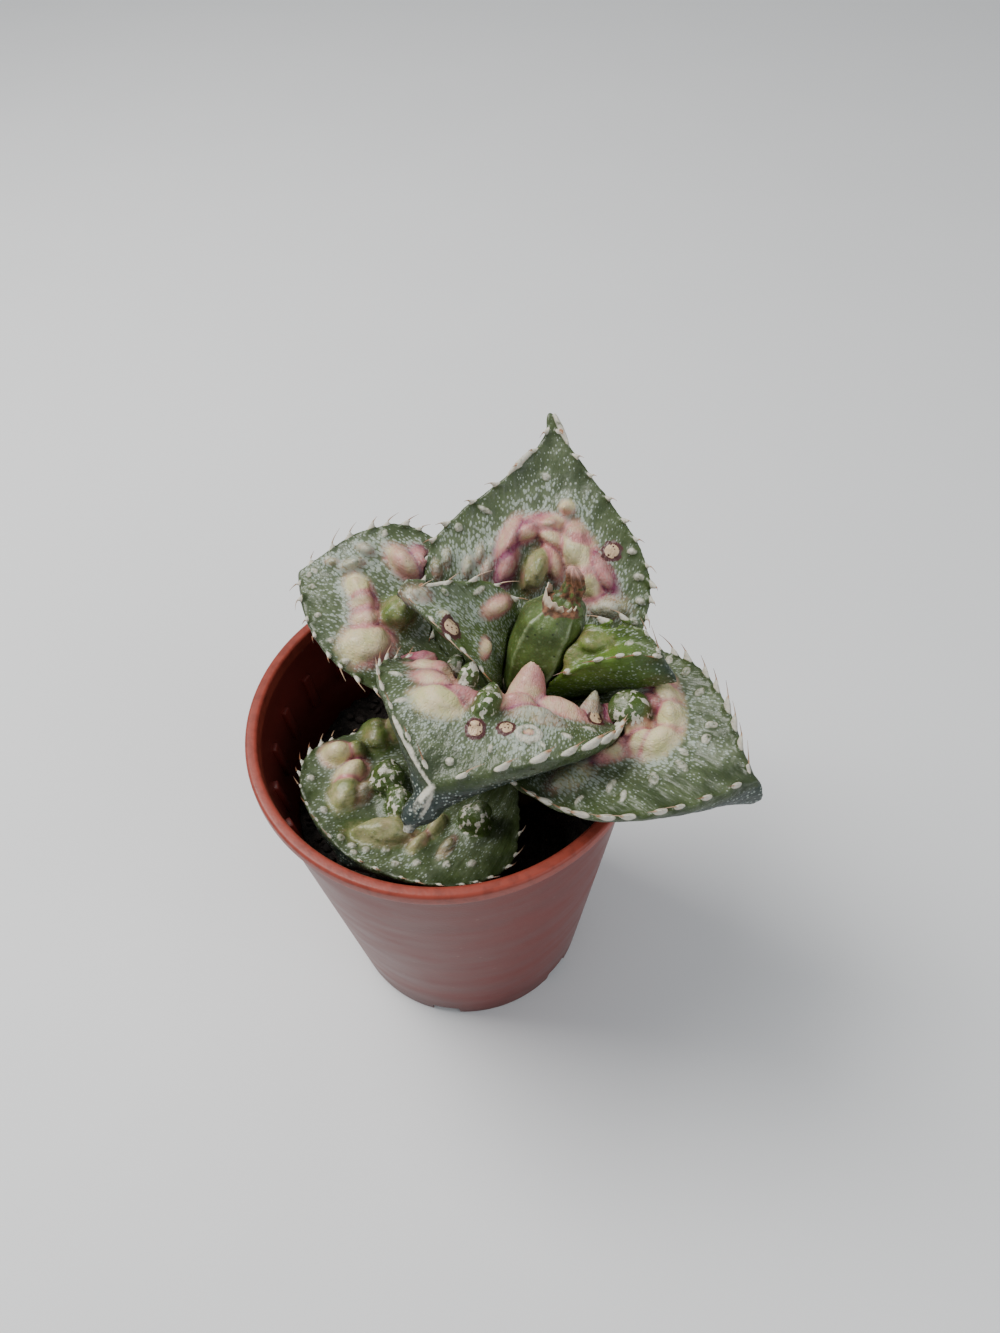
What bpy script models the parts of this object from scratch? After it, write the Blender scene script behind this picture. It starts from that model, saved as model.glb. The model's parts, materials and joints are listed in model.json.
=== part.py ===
"""Tiger jaws, a small warty succulent, in a plastic nursery pot.

Metres, +Z up. The origin is the middle of the pot's underside, +X is the viewer's right and -Y faces
the viewer. Sizes are given in millimetres and multiplied by MM where a mesh is made.
"""

import math
import random
from dataclasses import dataclass, field

import bmesh
import bpy
from mathutils import Matrix, Vector, noise

MM = 0.001
NAME = "potted_tiger_jaws"

# Pot: a thin turned cup with a thicker lip, six drain notches and a band of short ribs inside
POT_HEIGHT = 58.0
RIM_RADIUS = 27.5
BASE_RADIUS = 20.0
WALL = 1.0
LIP_WIDTH = 1.7
LIP_HEIGHT = 2.0
FLOOR = 1.4
POT_SEGMENTS = 48
NOTCH_COUNT = 6
NOTCH_START = -101.0
NOTCH_WIDTH = 4.6
NOTCH_HEIGHT = 2.4
NOTCH_DEPTH = 5.0
RIB_COUNT = 24
RIB_LOW = 45.5
RIB_HIGH = 52.0
RIB_WIDTH = 1.5
RIB_DEPTH = 0.7
RIB_SINK = 0.5
LIP_EDGE_WIDTH = 0.4
LIP_EDGE_HEIGHT = 0.5
FOOT_EDGE = 0.6

# Soil, and the short stem that stands in it. Neighbours are cut back to leave GAP between them
SOIL_TOP = 39.0
SOIL_ROUGHNESS = 1.3
SOIL_RINGS = (3, 7, 11, 15, 19)
SOIL_SEGMENTS = 40
CLOD = 4.0
CRUMB = 1.7
STEM_X = 10.0
STEM_Y = 0.5
STEM_RADIUS = 4.4
STEM_FOOT = 31.0
STEM_TOP = 61.0
STEM_SEGMENTS = 16
GAP = 0.35

# Leaves: the rings and their ends, then the narrow tip, the hollow of the face and the chin below it
AROUND_LEAF = 18
ALONG_LEAF = 12
FIRST_RING = 0.6
LAST_RING = 0.7
NARROWEST = 0.03
FACE_SOFTNESS = 0.02
KEEL = 0.55
TIP_DEPTH = 0.6
CHIN_SLOPE = 5.0
LONG_WART = 5.5

# Teeth: where they end along a margin, how they vary and how they stand
TEETH_REACH = 0.95
LAST_TOOTH = 0.93
TOOTH_LIMIT = 0.94
TOOTH_JITTER = 0.15
TOOTH_SIZES = (0.8, 1.15)
TOOTH_SPACING = 3.0
TOOTH_RADIUS = 0.75
TOOTH_POINT = 0.15
TOOTH_HEIGHT = 1.0
TOOTH_SINK = 0.7
TOOTH_OUT = 0.8
TOOTH_UP = 0.6
SEED = 7

# Bud: the ends of its axis, its radius at shares of the way along, and its five soft corners
BUD_BASE = (10.2, -0.4, 61.5)
BUD_TIP = (17.1, 4.5, 80.0)
BUD_OUTLINE = ((0, 2.0), (0.15, 3.4), (0.4, 4.3), (0.6, 4.1), (0.74, 3.0), (0.8, 1.7), (0.93, 1.1), (1, 0.4))
BUD_CORNERS = 5
BUD_CORNER_DEPTH = 0.07
BUD_SEGMENTS = 15
BUD_RINGS = 13


@dataclass
class Wart:
    """A lump on a leaf's upper face: where it stands, its length, width and height, and its heading."""

    s: float
    t: float
    length: float
    width: float
    height: float
    heading: float = 0.0


@dataclass
class Leaf:
    """A leaf from its base to its tip, with the widest points of its two margins, all in millimetres.

    shoulder is how far along the leaf is widest and root the width at its base, as shares of the whole.
    thick and chin are its depths at the base and under the tip, and cup is how far its face is hollowed.
    root and taper are given for the left margin and the right one, and toe moves the chin's foot.
    """

    name: str
    base: tuple
    tip: tuple
    left: tuple
    right: tuple
    shoulder: float
    thick: float
    chin: float
    cup: float
    root: tuple
    taper: tuple
    warts: list = field(default_factory=list)
    toothed: float = 0.2
    tooth_size: float = 1.0
    toe: tuple = (0, 0, 0)


LEAVES = [
    Leaf(
        "leaf_inner_left", (8.5, 0.5, 64), (-4.5, 4.3, 78), (2.9, -2.2, 74), (8.8, 7.0, 75),
        0.5, 5.0, 4.0, 2.5, (0.8, 0.8), (1.1, 1.1),
        [
            Wart(0.46, 0.66, 3.8, 2.6, 2.0, 40),
            Wart(0.40, -0.40, 2.8, 2.0, 1.4, 60),
            Wart(0.69, -0.55, 2.2, 2.0, 1.5),
            Wart(0.86, 0.10, 2.6, 2.0, 1.0, 160),
        ],
        0.3, 0.75,
    ),
    Leaf(
        "leaf_inner_right", (12.5, -0.5, 64.5), (27.5, -5.6, 74.5), (22.0, 0.2, 76.0), (20.3, -5.5, 72.5),
        0.5, 8.5, 5.5, 2.0, (0.8, 0.9), (1.1, 1.1),
        [
            Wart(0.26, 0.42, 4.2, 3.0, 2.0, 30),
            Wart(0.34, -0.50, 4.4, 2.6, 1.4, 0),
        ],
        0.3, 0.75,
    ),
    Leaf(
        "leaf_back", (11, 4.5, 60), (16.0, 29.9, 85.0), (-2.0, 15.4, 72.0), (28.4, 8.8, 70.0),
        0.40, 7.0, 4.0, 2.5, (0.75, 0.75), (1.9, 1.3),
        [
            Wart(0.45, -0.27, 7.5, 3.4, 2.4, 80),
            Wart(0.57, 0.02, 6.0, 3.4, 2.6, 0),
            Wart(0.48, 0.24, 7.0, 3.2, 2.2, 100),
            Wart(0.42, -0.03, 6.5, 3.6, 3.8, 75),
            Wart(0.51, 0.48, 9.5, 5.0, 3.2, 100),
            Wart(0.42, 0.58, 6.0, 4.4, 2.8, 110),
            Wart(0.34, 0.72, 7.0, 4.2, 1.8, -10),
            Wart(0.69, 0.33, 3.2, 2.2, 2.4, 90),
            Wart(0.40, -0.49, 4.6, 1.9, 1.4, 80),
            Wart(0.43, -0.66, 4.2, 1.7, 1.2, 90),
            Wart(0.41, -0.79, 3.8, 1.6, 1.1, 95),
            Wart(0.53, -0.42, 3.8, 1.8, 1.2, 85),
        ],
        0.12,
    ),
    Leaf(
        "leaf_front", (9, -1, 62), (-0.7, -18.5, 69.0), (-7.3, -0.8, 71.0), (21.5, -12.8, 69.0),
        0.35, 9.5, 7.0, 1.0, (0.85, 0.85), (0.95, 0.85),
        [
            Wart(0.48, -0.47, 8.5, 5.6, 1.8, -10),
            Wart(0.06, -0.90, 5.0, 3.2, 2.2, -20),
            Wart(0.18, -0.62, 5.4, 2.8, 2.2, -35),
            Wart(0.27, -0.46, 3.4, 3.0, 4.4),
            Wart(0.34, -0.33, 3.6, 3.0, 4.0, 60),
            Wart(0.43, -0.06, 6.4, 3.4, 3.2, 65),
            Wart(0.14, 0.28, 4.8, 3.8, 6.4, 30),
            Wart(0.42, 0.26, 8.0, 3.4, 1.7, 0),
            Wart(0.22, 0.58, 8.0, 3.2, 1.8, -20),
            Wart(0.57, 0.52, 4.4, 4.0, 0.9),
            Wart(0.15, 0.78, 3.4, 3.2, 4.2),
            Wart(0.10, 0.92, 4.0, 2.8, 2.8, -10),
        ],
        0.1, 1.0, (-2.9, -1.6, -0.5),
    ),
    Leaf(
        "leaf_left", (7, 3, 58), (-19.3, 15.8, 71.0), (-11.6, -0.1, 67.0), (-1.4, 20.1, 73.0),
        0.45, 7.5, 4.5, 2.0, (0.8, 0.8), (0.9, 1.15),
        [
            Wart(0.49, 0.60, 6.4, 3.8, 2.6, 130),
            Wart(0.61, -0.17, 5.0, 3.4, 2.0, 120),
            Wart(0.53, -0.27, 5.4, 3.8, 2.2, 100),
            Wart(0.51, -0.44, 4.6, 3.6, 1.9, 60),
            Wart(0.44, -0.64, 8.0, 7.0, 2.6, 20),
            Wart(0.43, 0.05, 5.8, 4.8, 4.0, 60),
            Wart(0.69, 0.59, 3.8, 1.7, 1.3, -30),
            Wart(0.73, 0.27, 4.2, 1.9, 1.5, 0),
        ],
        0.25,
    ),
    Leaf(
        "leaf_right", (13, -1, 60), (37.4, -18.7, 67.5), (30.1, 1.0, 68.0), (14.3, -20.1, 64.5),
        0.35, 6.9, 6.5, 1.5, (0.9, 0.9), (1.25, 0.95),
        [
            Wart(0.36, -0.28, 5.4, 5.2, 4.8),
            Wart(0.33, -0.74, 5.4, 3.4, 2.0, -40),
            Wart(0.41, -0.63, 5.2, 3.4, 2.2, -60),
            Wart(0.49, -0.50, 5.0, 3.8, 2.3, -80),
            Wart(0.52, -0.33, 5.4, 4.2, 2.5, 60),
            Wart(0.47, -0.08, 5.6, 4.0, 2.4, 10),
            Wart(0.41, 0.17, 5.6, 3.6, 2.0, 10),
            Wart(0.34, 0.35, 5.0, 3.4, 1.8, 10),
            Wart(0.30, 0.66, 6.0, 4.2, 1.4, 20),
        ],
        0.12, 1.0, (0.6, -1.0, 0.8),
    ),
    Leaf(
        "leaf_low", (7.5, -1.5, 47), (-13.6, -17.8, 52.5), (6.8, -20.4, 50.0), (-17.5, 0.7, 52.0),
        0.38, 5.5, 4.0, 2.0, (0.18, 0.6), (0.95, 0.8),
        [
            Wart(0.38, 0.81, 4.8, 4.0, 3.0, 10),
            Wart(0.29, 0.80, 3.2, 3.0, 2.8),
            Wart(0.16, 0.92, 3.6, 3.4, 4.4),
            Wart(0.22, 0.90, 5.4, 4.2, 2.8, 80),
            Wart(0.54, 0.50, 6.8, 5.2, 3.0, 70),
            Wart(0.42, 0.62, 6.4, 4.2, 2.8, 50),
            Wart(0.35, 0.42, 5.2, 4.6, 4.4, 70),
            Wart(0.40, 0.16, 4.6, 4.0, 4.0, 80),
            Wart(0.57, -0.18, 9.0, 4.4, 2.8, 0),
            Wart(0.40, -0.34, 4.2, 2.2, 2.2, 60),
            Wart(0.51, -0.44, 4.2, 1.8, 1.4, 52),
            Wart(0.44, -0.60, 4.2, 1.8, 1.4, 60),
            Wart(0.27, -0.57, 4.8, 4.4, 4.6),
        ],
        0.2,
    ),
    Leaf(
        "leaf_low_back", (12, 3, 47), (17.0, 12.5, 57.0), (7.5, 15.5, 54.0), (21.0, 3.5, 53.0),
        0.4, 5.0, 4.0, 1.5, (0.85, 0.85), (1.0, 1.0),
        [
            Wart(0.45, -0.20, 5.0, 3.6, 2.4, 60),
            Wart(0.42, 0.35, 4.6, 3.4, 2.2, -30),
        ],
        0.25,
    ),
]


def clear_scene():
    for thing in list(bpy.data.objects):
        bpy.data.objects.remove(thing, do_unlink=True)


def collection(name, hidden=False):
    made = bpy.data.collections.new(name)
    bpy.context.scene.collection.children.link(made)
    made.hide_render = hidden
    return made


def material(name, colour, roughness):
    made = bpy.data.materials.new(name)
    made.use_nodes = True
    shader = made.node_tree.nodes["Principled BSDF"]
    shader.inputs["Base Color"].default_value = (*colour, 1)
    shader.inputs["Roughness"].default_value = roughness
    shader.inputs["Metallic"].default_value = 0
    return made


def object_from(name, bm, group, surface=None):
    mesh = bpy.data.meshes.new(name)
    bm.to_mesh(mesh)
    bm.free()
    made = bpy.data.objects.new(name, mesh)
    if surface:
        mesh.materials.append(surface)
    group.objects.link(made)
    return made


def apply_modifiers(thing):
    """Replaces the object's mesh by what its modifiers make of it."""
    graph = bpy.context.evaluated_depsgraph_get()
    result = bpy.data.meshes.new_from_object(thing.evaluated_get(graph))
    thing.modifiers.clear()
    thing.data = result


def boolean(thing, group, operation):
    """One Boolean of everything in the group, applied."""
    cut = thing.modifiers.new("boolean", "BOOLEAN")
    cut.operation = operation
    cut.operand_type = "COLLECTION"
    cut.collection = group
    cut.solver = "EXACT"
    apply_modifiers(thing)


def empty_group(group):
    for thing in list(group.objects):
        bpy.data.objects.remove(thing, do_unlink=True)


def face_out(bm):
    """Turns the faces of a closed shape outwards."""
    if bm.calc_volume(signed=True) < 0:
        bmesh.ops.reverse_faces(bm, faces=bm.faces)


def grow_faces(bm, distance):
    """Moves every point out along its normal, for a clearance body."""
    bm.normal_update()
    moves = [(vert, vert.normal.copy()) for vert in bm.verts]
    for vert, normal in moves:
        vert.co += normal * distance


def width_share(leaf, s, t):
    """The half width at s as a share of the widest, on the side that t is on."""
    if s < leaf.shoulder:
        root = leaf.root[t > 0]
        return root + (1 - root) * math.sin(math.pi / 2 * s / leaf.shoulder)
    rest = (s - leaf.shoulder) / (1 - leaf.shoulder)
    return max(max(math.cos(math.pi / 2 * rest), 0) ** leaf.taper[t > 0], NARROWEST)


def leaf_normal(leaf):
    """The leaf's own up direction."""
    along = Vector(leaf.tip) - Vector(leaf.base)
    normal = along.cross(Vector(leaf.left) - Vector(leaf.right)).normalized()
    return normal if normal.z > 0 else -normal


def upper_face(leaf, s, t):
    """A point of the upper face: s runs from base to tip, t from the left margin (-1) to the right (1)."""
    base, tip = Vector(leaf.base), Vector(leaf.tip)
    left, right = Vector(leaf.left), Vector(leaf.right)
    at = leaf.shoulder
    middle = (left + right) / 2 - leaf_normal(leaf) * leaf.cup
    bend = (middle - base * (1 - at) ** 2 - tip * at**2) / (2 * at * (1 - at))
    spine = base * (1 - s) ** 2 + bend * (2 * s * (1 - s)) + tip * s**2
    lowest = math.sqrt(FACE_SOFTNESS)
    reach = (math.sqrt(t * t + FACE_SOFTNESS) - lowest) / (math.sqrt(1 + FACE_SOFTNESS) - lowest)
    side = (left if t < 0 else right) - middle
    return spine + side * (width_share(leaf, s, t) * reach)


def lower_face(leaf, s, t):
    """A point of the full, keeled underside, which keeps its depth nearly to the tip as a chin."""
    depth = leaf.thick * (1 - s) + leaf.chin * s
    depth *= min(TIP_DEPTH + CHIN_SLOPE * (1 - s), 1)
    drop = leaf_normal(leaf) * -depth + Vector(leaf.toe) * s**3
    return upper_face(leaf, s, t) + drop * (1 - abs(t)) ** KEEL


def leaf_body(leaf, grow=0.0):
    """A ball whose rings are moved to the leaf's sections, from the base's pole to the tip's."""
    bm = bmesh.new()
    bmesh.ops.create_uvsphere(bm, u_segments=AROUND_LEAF, v_segments=ALONG_LEAF, radius=1)
    for vert in bm.verts:
        ring = round(math.acos(max(-1, min(1, vert.co.z))) / math.pi * ALONG_LEAF)
        s = min(max((ring - FIRST_RING) / (ALONG_LEAF - FIRST_RING - LAST_RING), 0), 1)
        ring_radius = math.hypot(vert.co.x, vert.co.y)
        t = vert.co.x / ring_radius if 0 < ring < ALONG_LEAF else 0
        face = upper_face if vert.co.y >= -1e-6 else lower_face
        point = face(leaf, s, t)
        if ring == ALONG_LEAF:
            point = (upper_face(leaf, 1, 0) + lower_face(leaf, 1, 0)) / 2
        vert.co = point * MM
    face_out(bm)
    if grow:
        grow_faces(bm, grow * MM)
    return bm


def surface_frame(leaf, s, t, heading):
    """The point, and the directions of the heading, across it and out of the face."""
    step, edge = 0.02, 0.99
    point = upper_face(leaf, s, t)
    along = upper_face(leaf, min(s + step, edge), t) - upper_face(leaf, max(s - step, 0), t)
    across = upper_face(leaf, s, min(t + step, edge)) - upper_face(leaf, s, max(t - step, -edge))
    out = along.cross(across).normalized()
    if out.dot(leaf_normal(leaf)) < 0:
        out = -out
    plan = Vector((math.cos(math.radians(heading)), math.sin(math.radians(heading)), 0))
    first = (plan - out * plan.dot(out)).normalized()
    return point, first, out.cross(first), out


def placed(bm, point, axes):
    """Moves a shape made at the origin to a point, with its x, y and z along the axes, in mm."""
    turn = Matrix(axes).transposed().to_4x4()
    bmesh.ops.transform(bm, matrix=Matrix.Scale(MM, 4) @ Matrix.Translation(point) @ turn, verts=bm.verts)


def wart_shape(leaf, wart, grow=0.0):
    """An egg half sunk in the face."""
    bm = bmesh.new()
    around, rings = (8, 5) if wart.length < LONG_WART else (10, 6)
    bmesh.ops.create_uvsphere(bm, u_segments=around, v_segments=rings, radius=1)
    for vert in bm.verts:
        vert.co.x *= wart.length / 2 + grow
        vert.co.y *= wart.width / 2 + grow
        vert.co.z *= wart.height + grow
    point, first, second, out = surface_frame(leaf, wart.s, wart.t, wart.heading)
    placed(bm, point, (first, second, out))
    return bm


def margin_length(leaf, side):
    """The length of the left margin (-1) or the right one (1), in mm."""
    steps = 40
    points = [upper_face(leaf, step / steps, side) for step in range(steps + 1)]
    return sum((b - a).length for a, b in zip(points, points[1:]))


def tooth_places(leaf, rng):
    """Even steps along each margin, from where the teeth start to just short of the tip."""
    for side in (-1, 1):
        count = max(3, round(margin_length(leaf, side) * (TEETH_REACH - leaf.toothed) / TOOTH_SPACING))
        for number in range(count):
            share = (number + rng.uniform(-TOOTH_JITTER, TOOTH_JITTER)) / (count - 1)
            s = leaf.toothed + (LAST_TOOTH - leaf.toothed) * share
            yield min(s, TOOTH_LIMIT), side, rng.uniform(*TOOTH_SIZES) * leaf.tooth_size


def tooth_shape(leaf, s, side, size, grow=0.0):
    """A short four-sided spike that leans out of the margin and up."""
    margin = upper_face(leaf, s, side)
    outward = (margin - upper_face(leaf, s, side * 0.8)).normalized()
    point = margin - outward * TOOTH_SINK
    up = (outward * TOOTH_OUT + leaf_normal(leaf) * TOOTH_UP).normalized()
    first = up.orthogonal().normalized()
    height = TOOTH_HEIGHT * size + TOOTH_SINK
    foot = TOOTH_RADIUS * size + grow
    bm = bmesh.new()
    bmesh.ops.create_cone(
        bm, cap_ends=True, segments=4, radius1=foot, radius2=TOOTH_POINT + grow, depth=height
    )
    bmesh.ops.translate(bm, vec=(0, 0, height / 2), verts=bm.verts)
    placed(bm, point, (first, up.cross(first), up))
    return bm


def leaf_pieces(leaf, grow=0.0):
    """The warts and teeth of a leaf, as shapes still apart."""
    rng = random.Random(SEED + len(leaf.warts))
    for wart in leaf.warts:
        yield wart_shape(leaf, wart, grow)
    for s, side, size in tooth_places(leaf, rng):
        yield tooth_shape(leaf, s, side, size, grow)


def joined_leaf(leaf, group, loose, surface=None, grow=0.0):
    """The leaf's body with its warts and teeth fused into it."""
    made = object_from(leaf.name, leaf_body(leaf, grow), group, surface)
    for bm in leaf_pieces(leaf, grow):
        object_from("repeat", bm, loose)
    boolean(made, loose, "UNION")
    empty_group(loose)
    return made


def islands(bm):
    """The sets of points that edges join."""
    left = set(bm.verts)
    while left:
        found, reach = set(), [left.pop()]
        while reach:
            vert = reach.pop()
            found.add(vert)
            for edge in vert.link_edges:
                other = edge.other_vert(vert)
                if other in left:
                    left.remove(other)
                    reach.append(other)
        yield found


def keep_largest(thing):
    """Drops the scraps that a cut has parted from the piece."""
    bm = bmesh.new()
    bm.from_mesh(thing.data)
    parts = sorted(islands(bm), key=len)
    for scrap in parts[:-1]:
        bmesh.ops.delete(bm, geom=list(scrap), context="VERTS")
    bm.to_mesh(thing.data)
    bm.free()


def smooth(thing, degrees):
    thing.data.shade_smooth()
    thing.data.set_sharp_from_angle(angle=math.radians(degrees))


def turned(name, profile, segments, group, surface):
    """A closed profile of (radius, height) points in mm turned round the Z axis."""
    bm = bmesh.new()
    verts = [bm.verts.new((radius * MM, 0, height * MM)) for radius, height in profile]
    for a, b in zip(verts, verts[1:]):
        bm.edges.new((a, b))
    thing = object_from(name, bm, group, surface)
    screw = thing.modifiers.new("turn", "SCREW")
    screw.steps = segments
    screw.render_steps = segments
    screw.use_merge_vertices = True
    screw.merge_threshold = 0.00001
    apply_modifiers(thing)
    return thing


def outer_radius(height):
    """The outside of the pot's wall, below its lip."""
    return BASE_RADIUS + (RIM_RADIUS - LIP_WIDTH + WALL - BASE_RADIUS) * height / POT_HEIGHT


def make_pot(group, loose, surface):
    """The cup, with ribs fused inside it and notches cut at the foot."""
    inner_top = RIM_RADIUS - LIP_WIDTH
    lip_foot = POT_HEIGHT - LIP_HEIGHT
    profile = [
        (0, FLOOR),
        (outer_radius(FLOOR) - WALL, FLOOR),
        (outer_radius(RIB_LOW) - WALL, RIB_LOW),
        (inner_top, POT_HEIGHT - LIP_EDGE_HEIGHT),
        (inner_top + LIP_EDGE_WIDTH, POT_HEIGHT),
        (RIM_RADIUS - LIP_EDGE_WIDTH, POT_HEIGHT),
        (RIM_RADIUS, POT_HEIGHT - LIP_EDGE_HEIGHT),
        (RIM_RADIUS, lip_foot + LIP_EDGE_HEIGHT),
        (outer_radius(lip_foot), lip_foot),
        (outer_radius(FOOT_EDGE), FOOT_EDGE),
        (outer_radius(0) - FOOT_EDGE, 0),
        (0, 0),
    ]
    pot = turned("pot", profile, POT_SEGMENTS, group, surface)
    middle = (RIB_LOW + RIB_HIGH) / 2
    for number in range(RIB_COUNT):
        turn = Matrix.Rotation(2 * math.pi * number / RIB_COUNT, 4, "Z")
        bm = bmesh.new()
        bmesh.ops.create_cube(bm, size=1)
        size = Matrix.Diagonal((RIB_DEPTH + RIB_SINK, RIB_WIDTH, RIB_HIGH - RIB_LOW, 1))
        lean = Matrix.Rotation(math.atan2(outer_radius(1) - outer_radius(0), 1), 4, "Y")
        seat = Matrix.Translation((outer_radius(middle) - WALL - (RIB_DEPTH - RIB_SINK) / 2, 0, middle))
        bmesh.ops.transform(bm, matrix=Matrix.Scale(MM, 4) @ turn @ seat @ lean @ size, verts=bm.verts)
        object_from("rib", bm, loose)
    boolean(pot, loose, "UNION")
    empty_group(loose)
    for number in range(NOTCH_COUNT):
        turn = Matrix.Rotation(math.radians(NOTCH_START + 360 * number / NOTCH_COUNT), 4, "Z")
        bm = bmesh.new()
        bmesh.ops.create_cube(bm, size=1)
        size = Matrix.Diagonal((NOTCH_DEPTH, NOTCH_WIDTH, NOTCH_HEIGHT * 2, 1))
        seat = Matrix.Translation((BASE_RADIUS, 0, 0))
        bmesh.ops.transform(bm, matrix=Matrix.Scale(MM, 4) @ turn @ seat @ size, verts=bm.verts)
        object_from("notch", bm, loose)
    boolean(pot, loose, "DIFFERENCE")
    empty_group(loose)
    smooth(pot, 35)
    return pot


def make_soil(group, loose, surface):
    """Peat that fills the cup, lumpy on top, with a plain hole for the stem."""
    inset = WALL + GAP + RIB_DEPTH
    low = FLOOR + GAP + NOTCH_HEIGHT
    rings = (*SOIL_RINGS, outer_radius(SOIL_TOP) - inset)
    profile = [(0, SOIL_TOP)] + [(radius, SOIL_TOP) for radius in rings]
    profile += [(outer_radius(low) - inset, low), (0, low)]
    soil = turned("soil", profile, SOIL_SEGMENTS, group, surface)
    for vert in soil.data.vertices:
        if vert.co.z > (SOIL_TOP - GAP) * MM:
            place = Vector(vert.co) / MM
            rough = noise.noise(place / CLOD) + 0.5 * noise.noise(place / CRUMB)
            vert.co.z += rough * SOIL_ROUGHNESS * MM
    object_from("hole", column(STEM_RADIUS + GAP, STEM_FOOT - GAP, SOIL_TOP + STEM_RADIUS), loose)
    boolean(soil, loose, "DIFFERENCE")
    empty_group(loose)
    smooth(soil, 60)
    return soil


def column(radius, low, high):
    """An upright cylinder on the stem's line."""
    bm = bmesh.new()
    wide, tall = radius * MM, (high - low) * MM
    bmesh.ops.create_cone(
        bm, cap_ends=True, segments=STEM_SEGMENTS, radius1=wide, radius2=wide, depth=tall
    )
    middle = Vector((STEM_X, STEM_Y, (low + high) / 2)) * MM
    bmesh.ops.translate(bm, vec=middle, verts=bm.verts)
    return bm


def bud_radius(s):
    """Stout up to its dry collar, then a narrow beak."""
    for (low, first), (high, second) in zip(BUD_OUTLINE, BUD_OUTLINE[1:]):
        if s <= high:
            share = (s - low) / (high - low)
            return first + (second - first) * (3 - 2 * share) * share**2
    return BUD_OUTLINE[-1][1]


def bud_shape(grow=0.0):
    """The spent flower: a keeled pod with five soft corners."""
    bm = bmesh.new()
    bmesh.ops.create_uvsphere(bm, u_segments=BUD_SEGMENTS, v_segments=BUD_RINGS, radius=1)
    base, tip = Vector(BUD_BASE), Vector(BUD_TIP)
    axis = (tip - base).normalized()
    first = axis.orthogonal().normalized()
    second = axis.cross(first)
    for vert in bm.verts:
        s = 1 - math.acos(max(-1, min(1, vert.co.z))) / math.pi
        turn = math.atan2(vert.co.y, vert.co.x)
        corner = 1 + BUD_CORNER_DEPTH * math.cos(BUD_CORNERS * turn)
        radius = bud_radius(s) * corner if 0.01 < s < 0.99 else 0
        out = first * math.cos(turn) + second * math.sin(turn)
        vert.co = (base + (tip - base) * s + out * radius) * MM
    face_out(bm)
    if grow:
        grow_faces(bm, grow * MM)
    return bm


def make_plant(group, loose, grown, above, leaf_surface, bud_surface, stem_surface):
    """From the top down: each piece is cut clear of every piece that is already there."""
    stem = object_from("stem", column(STEM_RADIUS, STEM_FOOT, STEM_TOP), group, stem_surface)
    smooth(stem, 40)
    object_from("clear_stem", column(STEM_RADIUS + GAP, STEM_FOOT - GAP, STEM_TOP + GAP), above)
    bud = object_from("bud", bud_shape(), group, bud_surface)
    boolean(bud, above, "DIFFERENCE")
    keep_largest(bud)
    smooth(bud, 50)
    object_from("clear_bud", bud_shape(GAP), above)
    for leaf in LEAVES:
        made = joined_leaf(leaf, group, loose, leaf_surface)
        boolean(made, above, "DIFFERENCE")
        keep_largest(made)
        smooth(made, 40)
        clear = joined_leaf(leaf, grown, loose, None, GAP)
        clear.name = "clear_" + leaf.name
        grown.objects.unlink(clear)
        above.objects.link(clear)
    empty_group(above)


def hold_together(group):
    """Parents every piece to one empty at the middle of the pot's underside."""
    holder = bpy.data.objects.new(NAME, None)
    for piece in group.objects:
        piece.parent = holder
    group.objects.link(holder)


def main():
    clear_scene()
    parts = collection(NAME)
    loose = collection("repeats", hidden=True)
    grown = collection("clearance", hidden=True)
    above = collection("cutters", hidden=True)
    terracotta = material("terracotta_plastic", (0.31, 0.075, 0.055), 0.45)
    peat = material("peat", (0.02, 0.015, 0.012), 0.95)
    leaf_green = material("leaf", (0.12, 0.19, 0.11), 0.5)
    bud_green = material("bud", (0.17, 0.26, 0.09), 0.45)
    stem_green = material("stem", (0.20, 0.22, 0.12), 0.6)
    make_pot(parts, loose, terracotta)
    make_soil(parts, loose, peat)
    make_plant(parts, loose, grown, above, leaf_green, bud_green, stem_green)
    hold_together(parts)
    for group in (loose, grown, above):
        bpy.data.collections.remove(group)


if __name__ == "__main__":
    main()
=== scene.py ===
"""Looks for a potted tiger jaws: fine leaves, warts, teeth and hairs, the spent bud, peat and the pot.

The packed solids give every piece its place. Sizes are in millimetres and become metres at MM.
"""

import json
import math
import random
from dataclasses import dataclass

import bpy
import numpy as np
from bpy.props import FloatProperty, FloatVectorProperty, IntProperty, PointerProperty
from mathutils import Euler, Matrix, Vector, kdtree, noise

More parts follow.
